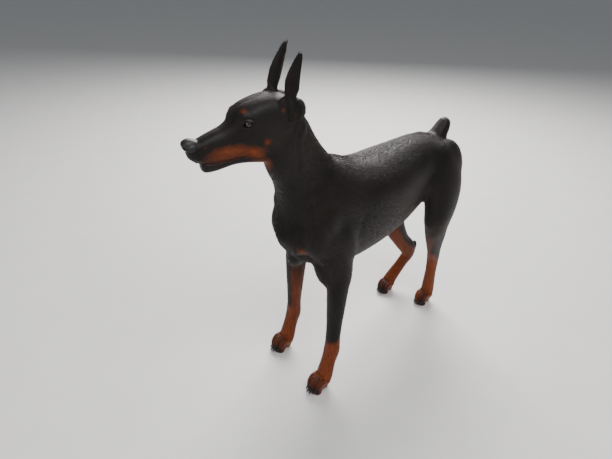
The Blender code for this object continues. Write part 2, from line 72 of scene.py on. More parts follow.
def lamp(name, place, aim, size, watts, colour=(1, 1, 1)):
    light = bpy.data.lights.new(name, "AREA")
    light.shape = "DISK"
    light.size = size
    light.energy = watts
    light.color = colour
    holder = placed(name, light)
    holder.matrix_world = (Vector(place) - Vector(aim)).to_track_quat("Z", "Y").to_matrix().to_4x4()
    holder.location = place


lamp("key", (1.6, -0.6, 3.0), (0, 0, 0.5), 2.0, 90, (1.0, 0.98, 0.96))
lamp("sky", (-1.7, 1.9, 2.6), (0, 0.1, 0.6), 2.4, 260, (1.0, 0.96, 0.95))
lamp("front", (0.6, -3.0, 1.3), (0, -0.2, 0.5), 1.8, 22)
world = bpy.data.worlds.new("studio")
world.use_nodes = True
background = world.node_tree.nodes["Background"]
background.inputs["Color"].default_value = (0.86, 0.90, 0.96, 1)
background.inputs["Strength"].default_value = 0.26
bpy.context.scene.world = world

floor_bm = bmesh.new()
bmesh.ops.create_grid(floor_bm, x_segments=1, y_segments=1, size=40)
floor_mesh = bpy.data.meshes.new("floor")
floor_bm.to_mesh(floor_mesh)
floor = placed("floor", floor_mesh)


class Wire:
    """One value in a material, on which sums are written as Python expressions."""

    def __init__(self, finish, socket):
        self.finish = finish
        self.socket = socket

    def sum(self, operation, a, b=0.0):
        return self.finish.make("ShaderNodeMath", {"operation": operation}, {0: a, 1: b})

    def __add__(self, other):
        return self.sum("ADD", self, other)

    def __radd__(self, other):
        return self.sum("ADD", other, self)

    def __sub__(self, other):
        return self.sum("SUBTRACT", self, other)

    def __rsub__(self, other):
        return self.sum("SUBTRACT", other, self)

    def __mul__(self, other):
        return self.sum("MULTIPLY", self, other)

    def step(self, start, end):
        """0 below start, 1 above end and a soft rise between them."""
        values = {"Value": self, "From Min": start, "From Max": end}
        return self.finish.make("ShaderNodeMapRange", {"interpolation_type": "SMOOTHSTEP"}, values)


class Finish:
    """A material with one Principled shader."""

    def __init__(self, name, roughness, **inputs):
        self.material = bpy.data.materials.new(name)
        self.material.use_nodes = True
        self.tree = self.material.node_tree
        self.shader = self.tree.nodes["Principled BSDF"]
        self.feed("Roughness", roughness)
        for name, value in inputs.items():
            self.feed(name.replace("_", " "), value)

    def make(self, kind, settings=None, values=None, output=0):
        node = self.tree.nodes.new(kind)
        for key, value in (settings or {}).items():
            setattr(node, key, value)
        for key, value in (values or {}).items():
            self.feed(node.inputs[key], value)
        return Wire(self, node.outputs[output])

    def feed(self, socket, value):
        """Gives a value or a wire to an input, or to the input of the shader that has this name."""
        if isinstance(socket, str):
            socket = self.shader.inputs[socket]
        if isinstance(value, Wire):
            self.tree.links.new(value.socket, socket)
        elif isinstance(value, tuple) and len(value) == 3 and socket.type == "RGBA":
            socket.default_value = (*value, 1)
        else:
            socket.default_value = value

    def place(self, stretch=(1, 1, 1)):
        """Object coordinates, each multiplied by its stretch."""
        where = self.make("ShaderNodeTexCoord", {}, {}, 3)
        return self.make("ShaderNodeVectorMath", {"operation": "MULTIPLY"}, {0: where, 1: stretch})

    def noise(self, scale, stretch=(1, 1, 1), detail=2.0):
        values = {"Vector": self.place(stretch), "Scale": scale, "Detail": detail}
        return self.make("ShaderNodeTexNoise", {}, values)

    def mask(self, name):
        return self.make("ShaderNodeAttribute", {"attribute_name": name}, {}, 2)

    def blend(self, a, b, share):
        return self.make("ShaderNodeMix", {"data_type": "RGBA"}, {0: share, 6: a, 7: b}, 2)

    def bump(self, height, strength, distance):
        values = {"Height": height, "Strength": strength, "Distance": distance}
        return self.make("ShaderNodeBump", {}, values)

    def wear(self, piece):
        """Puts the finish on a piece, which is then shaded smooth."""
        piece.data.materials.clear()
        piece.data.materials.append(self.material)
        for face in piece.data.polygons:
            face.use_smooth = True


pale = Finish("pale floor", 0.6)
grain = pale.noise(9.0, detail=6.0)
pale.feed("Base Color", pale.blend((0.60, 0.60, 0.585), (0.66, 0.66, 0.645), grain))
pale.wear(floor)

# The body. One skin runs over flesh and bone without a seam, from the muzzle to the docked tail, under a
# short, glossy coat of black and rust. It is the solids' own rings and muscles, joined at a finer grain, in
# the sizes of a slender adult Doberman, probably a female.
WITHERS_HEIGHT = 0.697
EAR_LENGTH = 0.118
EYE_RADIUS = 0.0115
LID = 0.0022

# Pose of the head and places of the feet, before the shift
HEAD = (
    Matrix.Translation((0.020, -0.125, 0.828))
    @ Matrix.Rotation(math.radians(-12), 4, "Z")
    @ Matrix.Rotation(math.radians(6.5), 4, "X")
)
FORE_PAW = {"left": (0.110, -0.077), "right": (-0.103, -0.040)}
HIND_PAW = {"left": (0.040, 0.523), "right": (-0.099, 0.474)}
HOCK = {"left": (0.042, 0.536, 0.182), "right": (-0.072, 0.554, 0.159)}
STIFLE = {"left": (0.090, 0.445, 0.385), "right": (-0.091, 0.405, 0.385)}
SHANK_BOW = {"left": 0.000, "right": 0.018}
FORE_PAW_SIZE = (0.062, 0.090)
HIND_PAW_SIZE = (0.056, 0.088)
EYE = (0.0345, -0.1300, 0.0190)
EAR_SET = {"left": (0.000, 0.000, 0.975), "right": (0.008, 0.018, 1.035)}
SIDES = {"left": 1, "right": -1}

Ring = namedtuple("Ring", "x y z side back front taper power", defaults=(0.0, 1.0))


def smooth_steps(rows, steps):
    """Rows of numbers, with steps points on a smooth curve between each pair."""
    rows = np.array(rows, float)
    ends = np.vstack([2 * rows[0] - rows[1], rows, 2 * rows[-1] - rows[-2]])
    found = []
    for i in range(1, len(ends) - 2):
        p0, p1, p2, p3 = ends[i - 1 : i + 3]
        for k in range(steps):
            t = k / steps
            bend = (2 * p0 - 5 * p1 + 4 * p2 - p3) * t**2 + (3 * p1 - p0 - 3 * p2 + p3) * t**3
            found.append(0.5 * (2 * p1 + (p2 - p0) * t + bend))
    return np.array(found + [rows[-1]])


def skin_loops(bm, loops):
    around = len(loops[0])
    for a, b in zip(loops, loops[1:]):
        for k in range(around):
            m = (k + 1) % around
            bm.faces.new((a[k], a[m], b[m], b[k]))
    bm.faces.new(reversed(loops[0]))
    bm.faces.new(loops[-1])


def add_loft(bm, rings, place=Matrix.Identity(4), steps=4, around=28, side=Vector((1, 0, 0))):
    """Adds a closed loft through the rings. A ring spreads `side` to both sides, `back` and `front`
    across them; back is side x travel, which is up on the trunk and to the rear on a leg."""
    rows = smooth_steps([tuple(r) for r in rings], steps)
    centres = [Vector(r[:3]) for r in rows]
    loops = []
    for i, row in enumerate(rows):
        travel = (centres[min(i + 1, len(rows) - 1)] - centres[max(i - 1, 0)]).normalized()
        across = (side - travel * side.dot(travel)).normalized()
        rear = across.cross(travel)
        width, back, front, taper, power = row[3:]
        loop = []
        for k in range(around):
            c, s = math.cos(2 * math.pi * k / around), math.sin(2 * math.pi * k / around)
            u = math.copysign(abs(c) ** power, c) * width * (1 + taper * s)
            v = math.copysign(abs(s) ** power, s) * (back if s > 0 else front)
            loop.append(bm.verts.new(place @ (centres[i] + across * u + rear * v)))
        loops.append(loop)
    skin_loops(bm, loops)


def add_ball(bm, centre, radii, turn=(0, 0, 0), place=Matrix.Identity(4), parts=20):
    """Adds an ellipsoid, turned by angles in degrees about X, Y and Z."""
    matrix = place @ Matrix.Translation(centre)
    for axis, degrees in zip("ZYX", reversed(turn)):
        matrix = matrix @ Matrix.Rotation(math.radians(degrees), 4, axis)
    matrix = matrix @ Matrix.Diagonal((*radii, 1))
    bmesh.ops.create_uvsphere(bm, u_segments=parts, v_segments=parts * 3 // 5, radius=1, matrix=matrix)


def trunk_forms(bm):
    """The chest, belly and croup as one loft, with the muscles that show on it."""
    rings = [
        Ring(0, -0.146, 0.530, 0.010, 0.015, 0.015),
        Ring(0, -0.134, 0.525, 0.036, 0.050, 0.060),
        Ring(0, -0.100, 0.525, 0.062, 0.085, 0.120, 0.05),
        Ring(0, -0.060, 0.530, 0.082, 0.115, 0.165, 0.08),
        Ring(0, -0.020, 0.540, 0.094, 0.146, 0.192, 0.08),
        Ring(0, 0.030, 0.550, 0.103, WITHERS_HEIGHT - 0.560, 0.210, 0.05),
        Ring(0, 0.100, 0.550, 0.110, 0.110, 0.213),
        Ring(0, 0.180, 0.550, 0.113, 0.100, 0.204),
        Ring(0, 0.260, 0.555, 0.107, 0.100, 0.192),
        Ring(0, 0.330, 0.565, 0.093, 0.095, 0.178),
        Ring(0, 0.390, 0.575, 0.085, 0.088, 0.160),
        Ring(0, 0.450, 0.580, 0.084, 0.078, 0.130),
        Ring(0, 0.505, 0.580, 0.074, 0.060, 0.100),
        Ring(0, 0.542, 0.575, 0.050, 0.040, 0.055),
        Ring(0, 0.555, 0.575, 0.020, 0.015, 0.020),
    ]
    add_loft(bm, rings)
    # The two swells of the breast
    for sign in SIDES.values():
        add_ball(bm, (0.027 * sign, -0.092, 0.514), (0.036, 0.036, 0.082), (-14, 0, 0))


def neck_forms(bm):
    rings = [
        Ring(0.022, -0.180, 0.830, 0.036, 0.040, 0.045),
        Ring(0.019, -0.157, 0.790, 0.045, 0.068, 0.068),
        Ring(0.014, -0.130, 0.737, 0.050, 0.078, 0.077),
        Ring(0.007, -0.098, 0.690, 0.056, 0.083, 0.081),
        Ring(0.000, -0.064, 0.635, 0.070, 0.097, 0.092),
        Ring(0.000, -0.035, 0.575, 0.084, 0.104, 0.105),
    ]
    add_loft(bm, rings)


def tail_forms(bm):
    rings = [
        Ring(0, 0.494, 0.590, 0.030, 0.038, 0.026),
        Ring(0, 0.514, 0.630, 0.031, 0.033, 0.026),
        Ring(0, 0.536, 0.656, 0.028, 0.027, 0.024),
        Ring(0, 0.551, 0.679, 0.023, 0.021, 0.018),
        Ring(0, 0.557, 0.690, 0.010, 0.009, 0.009),
    ]
    add_loft(bm, rings)


def foreleg_forms(bm, name):
    sign = SIDES[name]
    x, y = FORE_PAW[name]
    foot = Vector((x, y + 0.014, 0.045))
    wrist = Vector((x, y + 0.037, 0.125))
    elbow = Vector((0.090 * sign, -0.006, 0.365))
    rings = [
        Ring(0.060 * sign, -0.050, 0.540, 0.020, 0.030, 0.030),
        Ring(0.066 * sign, -0.044, 0.500, 0.034, 0.056, 0.046),
        Ring(0.074 * sign, -0.026, 0.440, 0.036, 0.062, 0.046),
        Ring(*elbow, 0.032, 0.045, 0.036),
        Ring(*elbow.lerp(wrist, 0.15), 0.031, 0.036, 0.034),
        Ring(*elbow.lerp(wrist, 0.35), 0.0280, 0.031, 0.030),
        Ring(*elbow.lerp(wrist, 0.65), 0.0230, 0.025, 0.023),
        Ring(*elbow.lerp(wrist, 0.85), 0.0220, 0.023, 0.021),
        Ring(*wrist, 0.0245, 0.024, 0.022),
        Ring(*wrist.lerp(foot, 0.45), 0.0225, 0.020, 0.022),
        Ring(*foot, 0.026, 0.021, 0.025),
        Ring(foot.x, foot.y - 0.008, 0.020, 0.024, 0.021, 0.023),
    ]
    add_loft(bm, rings)
    # Shoulder blade and its root in the neck, upper arm, the long head behind it, breast muscle
    add_ball(bm, (0.062 * sign, -0.040, 0.555), (0.034, 0.060, 0.108), (-30, -13 * sign, 0))
    add_ball(bm, (0.046 * sign, -0.070, 0.590), (0.038, 0.050, 0.070), (-20, -14 * sign, 0))
    add_ball(bm, (0.066 * sign, -0.070, 0.475), (0.036, 0.040, 0.066), (25, 0, 0))
    add_ball(bm, (0.076 * sign, 0.014, 0.455), (0.033, 0.052, 0.082), (18, -3 * sign, 0))
    add_ball(bm, (0.056 * sign, -0.030, 0.385), (0.030, 0.036, 0.066), (0, -18 * sign, 0))
    # Point of the elbow and pad behind the wrist
    add_ball(bm, elbow + Vector((0.000 * sign, 0.038, 0.008)), (0.014, 0.015, 0.026))
    add_ball(bm, wrist + Vector((0, 0.020, -0.012)), (0.009, 0.009, 0.011))


def hindleg_forms(bm, name):
    sign = SIDES[name]
    x, y = HIND_PAW[name]
    foot = Vector((x, y + 0.010, 0.045))
    hock = Vector(HOCK[name])
    stifle = Vector(STIFLE[name])
    ahead = stifle.y - 0.420
    bow = Vector((0, SHANK_BOW[name], 0))
    rings = [
        Ring(0.038 * sign, 0.462, 0.632, 0.016, 0.030, 0.030),
        Ring(0.050 * sign, 0.460, 0.610, 0.036, 0.056, 0.056),
        Ring(0.062 * sign, 0.457 + ahead * 0.3, 0.555, 0.047, 0.082, 0.078),
        Ring(0.077 * sign, 0.454 + ahead * 0.7, 0.480, 0.048, 0.084, 0.078),
        Ring(*stifle, 0.037, 0.076, 0.046),
        Ring(*(stifle.lerp(hock, 0.35) - bow), 0.030, 0.056, 0.040),
        Ring(*(stifle.lerp(hock, 0.72) - bow), 0.0215, 0.034, 0.028 + bow.y * 0.15),
        Ring(*(hock - bow * 0.5), 0.0200, 0.025 + bow.y * 0.4, 0.025 + bow.y * 0.4),
        Ring(*hock.lerp(foot, 0.45), 0.0190, 0.021, 0.021),
        Ring(*foot, 0.024, 0.021, 0.023),
        Ring(foot.x, foot.y - 0.008, 0.020, 0.023, 0.020, 0.022),
    ]
    add_loft(bm, rings)
    # Rump, back of the thigh, kneecap and heel bone
    add_ball(bm, (0.053 * sign, 0.507 + ahead * 0.2, 0.548), (0.047, 0.063, 0.094), (12, 0, 0))
    add_ball(bm, (0.076 * sign, 0.483 + ahead * 0.6, 0.455), (0.038, 0.050, 0.100), (9, 0, 0))
    add_ball(bm, stifle + Vector((0, -0.036, 0.006)), (0.022, 0.019, 0.032))
    add_ball(bm, hock + Vector((0, 0.020, 0.012)), (0.010, 0.012, 0.022))


def toe_frames(centre, width, length):
    """Place, radius and reach of each toe, from the inner to the outer side."""
    x0, y0 = centre
    for across in (-0.345, -0.125, 0.125, 0.345):
        reach = length * (0.50 if abs(across) < 0.2 else 0.38)
        place = Matrix.Translation((x0, y0, 0)) @ Matrix.Rotation(-across * 0.4, 4, "Z")
        yield place, across * width, width * 0.15, reach


def paw_forms(bm, centre, width, length):
    """Arched toes side by side, with a pad under each and one behind them."""
    for place, x, r, reach in toe_frames(centre, width, length):
        rings = [
            Ring(x, 0.012, 0.034, r * 0.9, r, r),
            Ring(x, -reach * 0.40, 0.037, r, r, r * 1.2),
            Ring(x, -reach * 0.75, 0.027, r, r * 1.05, r * 1.2),
            Ring(x, -reach * 0.98, 0.014, r * 0.7, r * 0.7, r * 0.7),
        ]
        add_loft(bm, rings, place, around=16)
        add_ball(bm, (x, -reach * 0.72, 0.008), (r * 0.95, r * 1.4, 0.011), place=place, parts=12)
    x0, y0 = centre
    add_ball(bm, (x0, y0 + 0.006, 0.010), (width * 0.30, length * 0.21, 0.014))
    add_ball(bm, (x0, y0 - length * 0.12, 0.022), (width * 0.40, length * 0.30, 0.018))


def paws(name):
    """The kind, place and size of both paws on one side."""
    return (("fore", FORE_PAW[name], FORE_PAW_SIZE), ("hind", HIND_PAW[name], HIND_PAW_SIZE))


def head_forms(bm):
    """Skull, muzzle, jaw and cheeks in the head's own frame: -Y to the nose, the origin at the occiput."""
    skull = [
        Ring(0, -0.271, -0.012, 0.010, 0.009, 0.012),
        Ring(0, -0.265, -0.014, 0.016, 0.015, 0.022),
        Ring(0, -0.253, -0.018, 0.0205, 0.019, 0.031, -0.05, 0.85),
        Ring(0, -0.236, -0.021, 0.0245, 0.0245, 0.037, -0.10, 0.80),
        Ring(0, -0.205, -0.020, 0.028, 0.031, 0.041, -0.14, 0.76),
        Ring(0, -0.175, -0.018, 0.032, 0.036, 0.045, -0.14, 0.76),
        Ring(0, -0.150, -0.010, 0.039, 0.039, 0.052, -0.05, 0.80),
        Ring(0, -0.128, 0.000, 0.047, 0.053, 0.055, 0.0, 0.74),
        Ring(0, -0.100, 0.003, 0.053, 0.0595, 0.058, 0.0, 0.74),
        Ring(0, -0.060, 0.003, 0.056, 0.0625, 0.060, 0.0, 0.78),
        Ring(0, -0.025, 0.000, 0.051, 0.0530, 0.057, 0.0, 0.9),
        Ring(0, 0.000, -0.004, 0.032, 0.030, 0.042),
    ]
    add_loft(bm, skull, HEAD)
    jaw = [
        Ring(0, -0.246, -0.063, 0.011, 0.009, 0.010),
        Ring(0, -0.239, -0.063, 0.0185, 0.014, 0.018, 0, 0.85),
        Ring(0, -0.210, -0.061, 0.021, 0.016, 0.022, 0, 0.85),
        Ring(0, -0.170, -0.059, 0.024, 0.020, 0.021, 0, 0.9),
        Ring(0, -0.135, -0.058, 0.033, 0.025, 0.027),
        Ring(0, -0.105, -0.054, 0.040, 0.030, 0.041),
        Ring(0, -0.065, -0.046, 0.042, 0.030, 0.054),
    ]
    add_loft(bm, jaw, HEAD)
    for sign in SIDES.values():
        # Cheek, brow ridge, cheekbone, the root of the ear behind, below and before it, and the lip's swell
        add_ball(bm, (0.029 * sign, -0.080, -0.026), (0.026, 0.044, 0.044), (-20, 0, 0), HEAD)
        add_ball(bm, (0.028 * sign, -0.133, 0.034), (0.015, 0.018, 0.013), (0, 14 * sign, 0), HEAD)
        add_ball(bm, (0.038 * sign, -0.115, -0.006), (0.014, 0.034, 0.011), (8, 0, -14 * sign), HEAD)
        add_ball(bm, (0.037 * sign, -0.014, 0.020), (0.020, 0.028, 0.034), (0, 12 * sign, 0), HEAD)
        add_ball(bm, (0.029 * sign, -0.010, -0.024), (0.022, 0.026, 0.044), place=HEAD)
        add_ball(bm, (0.043 * sign, -0.042, 0.040), (0.012, 0.020, 0.026), (-32, 0, 0), HEAD)
        add_ball(bm, (0.016 * sign, -0.238, -0.036), (0.0105, 0.024, 0.015), (-8, 0, 0), HEAD)


def relax(mesh, rounds, chosen=lambda points: 1.0):
    """Moves each chosen point towards the mean of its neighbours, round after round."""
    count = len(mesh.vertices)
    points = np.empty(count * 3)
    mesh.vertices.foreach_get("co", points)
    points = points.reshape(-1, 3)
    ends = np.empty(len(mesh.edges) * 2, int)
    mesh.edges.foreach_get("vertices", ends)
    a, b = ends.reshape(-1, 2).T
    near = np.bincount(a, minlength=count) + np.bincount(b, minlength=count)
    share = np.reshape(0.5 * chosen(points), (-1, 1))
    for _ in range(rounds):
        total = np.empty_like(points)
        for axis in range(3):
            total[:, axis] = np.bincount(a, points[b, axis], count)
            total[:, axis] += np.bincount(b, points[a, axis], count)
        points += share * (total / near[:, None] - points)
    mesh.vertices.foreach_set("co", points.ravel())
    mesh.update()


def broad_forms(points):
    """1 on the trunk and the upper legs, fading to 0 at the head and towards the feet."""
    x, y, z = points.T
    above_feet = np.clip((z - 0.24) / 0.12, 0, 1)
    behind_head = np.clip((y + 0.16 - 0.9 * (z - 0.70)) / 0.05, 0, 1)
    return above_feet * np.where(z > 0.62, behind_head, 1)


def pack_forms():
    bm = bmesh.new()
    trunk_forms(bm)
    neck_forms(bm)
    tail_forms(bm)
    head_forms(bm)
    for name, sign in SIDES.items():
        foreleg_forms(bm, name)
        hindleg_forms(bm, name)
        for _, centre, size in paws(name):
            paw_forms(bm, centre, *size)
        centre = (EYE[0] * sign, EYE[1], EYE[2])
        add_ball(bm, centre, (EYE_RADIUS + LID,) * 3, place=HEAD)
    return bm


def coordinates(mesh, what="co"):
    found = np.empty(len(mesh.vertices) * 3)
    mesh.vertices.foreach_get(what, found)
    return found.reshape(-1, 3)


def in_head(points):
    """Points in the head's own frame."""
    turned = np.array(HEAD.inverted())
    return points @ turned[:3, :3].T + turned[:3, 3]


def settle(piece):
    """Applies the piece's modifiers."""
    mesh = bpy.data.meshes.new_from_object(piece.evaluated_get(bpy.context.evaluated_depsgraph_get()))
    piece.modifiers.clear()
    piece.data = mesh


def shaped(bm, name):
    """A piece of the faces that were drawn in bm."""
    bm.normal_update()
    bmesh.ops.recalc_face_normals(bm, faces=bm.faces)
    mesh = bpy.data.meshes.new(name)
    bm.to_mesh(mesh)
    bm.free()
    return placed(name, mesh)


def remeshed(bm, name, grain):
    """The forms as one closed skin of even faces."""
    piece = shaped(bm, name)
    union = piece.modifiers.new("union", "REMESH")
    union.mode = "VOXEL"
    union.voxel_size = grain
    settle(piece)
    return piece


def cut(piece, tool, operation="DIFFERENCE"):
    change = piece.modifiers.new("cut", "BOOLEAN")
    change.operation = operation
    change.object = tool
    change.solver = "MANIFOLD"
    settle(piece)
    bpy.data.objects.remove(tool)


skin = remeshed(pack_forms(), "skin", 0.0026)
relax(skin.data, 6)
relax(skin.data, 80, broad_forms)


def thigh_backs(points):
    """1 behind the knee, where the thigh's muscles run out into the shank."""
    x, y, z = points.T
    away = np.sqrt((np.abs(x) - 0.078) ** 2 + (y - 0.520) ** 2 + (z - 0.372) ** 2)
    return np.clip((0.075 - away) / 0.03, 0, 1)


relax(skin.data, 160, thigh_backs)

# The trunk, neck and upper legs need fewer faces than the head and the paws
broad = broad_forms(coordinates(skin.data))
group = skin.vertex_groups.new(name="broad")
group.add(np.flatnonzero(broad > 0.02).tolist(), 1.0, "REPLACE")
thin = skin.modifiers.new("thin", "DECIMATE")
thin.vertex_group = "broad"
thin.ratio = 0.40
settle(skin)
skin.vertex_groups.clear()


def finer(piece, chosen):
    """Halves the faces whose centres are chosen."""
    bm = bmesh.new()
    bm.from_mesh(piece.data)
    centres = np.array([face.calc_center_median() for face in bm.faces])
    edges = set()
    for face, wanted in zip(bm.faces, chosen(centres)):
        if wanted:
            edges.update(face.edges)
    bmesh.ops.subdivide_edges(bm, edges=list(edges), cuts=1, use_grid_fill=True)
    bm.to_mesh(piece.data)
    bm.free()


def face_parts(points):
    """The eyes, nose end and lips."""
    x, y, z = in_head(points).T
    eyes = (y < -0.108) & (y > -0.158) & (np.abs(x) > 0.012) & (z > -0.004) & (z < 0.046)
    lips = (y < -0.125) & (z > -0.078) & (z < -0.040)
    tip = y < -0.235
    return eyes | lips | tip


finer(skin, face_parts)
relax(skin.data, 2, face_parts)


def ear_rows(side, steps):
    """Rows up one ear: the middle of its open side, the way across it, the way it faces, and its sizes."""
    bow, curl, stretch = EAR_SET[side]
    rows = smooth_steps(
        [
            # back, out and up along the ear, half its width, its hollow and its thickness
            (-0.031, 0.0475, 0.002, 0.0080, 0.003, 0.016),
            (-0.027, 0.0530, 0.014, 0.0170, 0.009, 0.017),
            (-0.025, 0.0550, 0.030, 0.0195, 0.012, 0.014),
            (-0.029, 0.0545, 0.052, 0.0150, 0.011, 0.0100),
            (-0.0255, 0.0535, 0.075, 0.0180, 0.010, 0.0065),
            (-0.021, 0.0525, 0.096, 0.0190, 0.008, 0.0050),
            (-0.014, 0.0515, 0.114, 0.0165, 0.005, 0.0045),
            (-0.006, 0.0505, 0.130, 0.0130, 0.0025, 0.0042),
            (0.001, 0.0500, 0.144, 0.0088, 0.001, 0.0038),
            (0.006, 0.0490, 0.034 + EAR_LENGTH, 0.0048, 0.000, 0.0030),
        ],
        steps,
    )
    sign = SIDES[side]
    facing = Vector((math.sin(math.radians(86)) * sign, -math.cos(math.radians(86)), 0.10)).normalized()
    across = facing.cross(Vector((0, 0.15, 1))).normalized()
    for y, x, z, width, hollow, thick in rows:
        up = max(0.0, (z - 0.034) / EAR_LENGTH)
        y += bow * math.sin(math.pi * min(up, 1)) + curl * up**2
        z = min(z, 0.034) + max(0.0, z - 0.034) * stretch
        yield Vector((x * sign, y, z)), across, facing, width, hollow, thick


def ear_form(name, rows, columns, outer=None):
    """The leaf of an ear, or with outer given the room in its cup, out to that distance."""
    bm = bmesh.new()
    loops = []
    last = columns - 1
    for centre, across, facing, width, hollow, thick in rows:
        loop = []
        for k in range(columns):
            s = -1 + 2 * k / last
            inner = hollow * (1 - s * s)
            if outer is not None:
                inner += 0.0005
            loop.append(centre + across * (s * width) - facing * inner)
        for k in range(columns):
            s = 1 - 2 * k / last
            depth = hollow * (1 - s * s) + thick * (0.35 + 0.65 * (1 - s * s))
            if outer is not None:
                depth = -outer
            loop.append(centre + across * (s * width) - facing * depth)
        loops.append([bm.verts.new(HEAD @ p) for p in loop])
    skin_loops(bm, loops)
    return shaped(bm, name)


for name in SIDES:
    cut(skin, ear_form("room", list(ear_rows(name, 5))[:21], 15, 0.03))
    cut(skin, ear_form("ear", ear_rows(name, 7), 19), "UNION")


def ear_roots(points):
    x, y, z = in_head(points).T
    across = np.abs(x) - 0.043
    away = np.sqrt(across**2 + (y + 0.024) ** 2 + (z - 0.044) ** 2)
    return np.clip((0.034 - away) / 0.012, 0, 1)


relax(skin.data, 10, ear_roots)


def ear_blades(points):
    x, y, z = in_head(points).T
    return np.clip((z - 0.070) / 0.02, 0, 1) * 0.7


relax(skin.data, 4, ear_blades)


def near_path(points, path):
    """How far each point is from a bent line, and how far along the line, 0 to 1, its nearest place is."""
    path = np.array(path)
    steps = np.linalg.norm(np.diff(path, axis=0), axis=1)
    starts = np.concatenate([[0], np.cumsum(steps)])
    away = np.full(len(points), 1e9)
    along = np.zeros(len(points))
    for a, b, step, start in zip(path, path[1:], steps, starts):
        t = np.clip((points - a) @ (b - a) / step**2, 0, 1)
        far = np.linalg.norm(points - a - t[:, None] * (b - a), axis=1)
        closer = far < away
        away[closer] = far[closer]
        along[closer] = (start + t[closer] * step) / starts[-1]
    return away, along


class Carver:
    """Presses folds into the skin, and raises them, along lines that are laid on it."""

    def __init__(self, mesh):
        self.mesh = mesh
        self.read()

    def read(self):
        self.points = coordinates(self.mesh)
        self.normals = coordinates(self.mesh, "normal")
        self.tree = BVHTree.FromPolygons(
            [Vector(p) for p in self.points], [tuple(face.vertices) for face in self.mesh.polygons]
        )

    def line(self, rows, place):
        laid = []
        for row in smooth_steps(rows, 4):
            spot = place @ Vector(row)
            laid.append(self.tree.find_nearest(spot)[0])
        return laid

    def fold(self, rows, depth, width, place=Matrix.Identity(4), rise=0.0, towards=None, fade=0.2):
        """A groove of a depth, below 0 for a ridge, that fades at its ends. Beside it the skin can rise
        on the side that lies towards a direction."""
        path = self.line(rows, place)
        low, high = np.min(path, axis=0) - width * 4, np.max(path, axis=0) + width * 4
        chosen = np.flatnonzero(np.all((self.points > low) & (self.points < high), axis=1))
        near = self.points[chosen]
        away, along = near_path(near, path)
        ends = np.clip(np.minimum(along, 1 - along) / fade, 0, 1) if fade else 1.0
        move = -depth * np.exp(-((away / width) ** 2))
        if rise:
            course = np.array(smooth_steps(path, 1))
            nearest = course[np.argmin(((near[:, None] - course[None]) ** 2).sum(2), axis=1)]
            side = ((near - nearest) @ np.array((place.to_3x3() @ Vector(towards)).normalized())) > 0
            move += rise * side * np.exp(-(((away - 1.6 * width) / (1.1 * width)) ** 2))
        self.points[chosen] += self.normals[chosen] * (move * ends)[:, None]

    def swell(self, centre, radius, height, place=Matrix.Identity(4)):
        """A soft rise, below 0 for a hollow, round a place."""
        centre = np.array(place @ Vector(centre))
        away = np.linalg.norm(self.points - centre, axis=1)
        self.points += self.normals * (height * np.exp(-((away / radius) ** 2)))[:, None]

    def press(self):
        self.mesh.vertices.foreach_set("co", self.points.ravel())
        self.mesh.update()
        self.read()


carver = Carver(skin.data)
for sign in SIDES.values():
    # The line of the mouth, with the upper lip hanging a little over the lower one
    mouth = [
        (0.000, -0.2560, -0.0470),
        (0.012 * sign, -0.2480, -0.0510),
        (0.0200 * sign, -0.2320, -0.0560),
        (0.0245 * sign, -0.2080, -0.0590),
        (0.0285 * sign, -0.1800, -0.0600),
        (0.0350 * sign, -0.1560, -0.0590),
        (0.0420 * sign, -0.1400, -0.0600),
    ]
    carver.fold(mouth, 0.0024, 0.0017, HEAD, 0.0010, (0, 0, 1), 0.04)
    # The folds over and under the eye, and the hollow before it
    over = [
        (0.0270 * sign, -0.1530, 0.0200),
        (0.0350 * sign, -0.1450, 0.0300),
        (0.0440 * sign, -0.1300, 0.0310),
        (0.0480 * sign, -0.1180, 0.0240),
    ]
    carver.fold(over, 0.0011, 0.0024, HEAD)
    under = [
        (0.0290 * sign, -0.1520, 0.0110),
        (0.0370 * sign, -0.1440, 0.0070),
        (0.0450 * sign, -0.1290, 0.0070),
    ]
    carver.fold(under, 0.0009, 0.0024, HEAD)
    carver.swell((0.0240 * sign, -0.1620, 0.0080), 0.010, -0.0015, HEAD)
    # The hollow of the temple and the edge of the cheek muscle
    carver.swell((0.0500 * sign, -0.0900, 0.0270), 0.018, -0.0020, HEAD)
    cheek = [
        (0.0500 * sign, -0.1100, -0.0300),
        (0.0540 * sign, -0.0800, -0.0420),
        (0.0500 * sign, -0.0500, -0.0480),
        (0.0480 * sign, -0.0300, -0.0250),
    ]
    carver.fold(cheek, 0.0014, 0.0060, HEAD)
# The skin's folds behind the cheek, behind the upper arm and before the thigh
for sign in SIDES.values():
    neck_fold = [
        (0.060 * sign, -0.1296, 0.828),
        (0.060 * sign, -0.1470, 0.7785),
        (0.057 * sign, -0.1378, 0.7122),
        (0.052 * sign, -0.1300, 0.670),
    ]
    carver.fold(neck_fold, 0.0022, 0.0060, Matrix.Identity(4), 0.0016, (0, 1, 0.2), 0.3)
    arm_fold = [
        (0.11 * sign, 0.000, 0.640),
        (0.11 * sign, 0.0500, 0.600),
        (0.11 * sign, 0.066, 0.520),
        (0.10 * sign, 0.050, 0.430),
    ]
    carver.fold(arm_fold, 0.0030, 0.0110, fade=0.3)
    flank_fold = [
        (0.10 * sign, 0.425, 0.600),
        (0.10 * sign, 0.375, 0.530),
        (0.09 * sign, 0.330, 0.470),
        (0.08 * sign, 0.318, 0.420),
    ]
    carver.fold(flank_fold, 0.0030, 0.0100, fade=0.3)
carver.press()

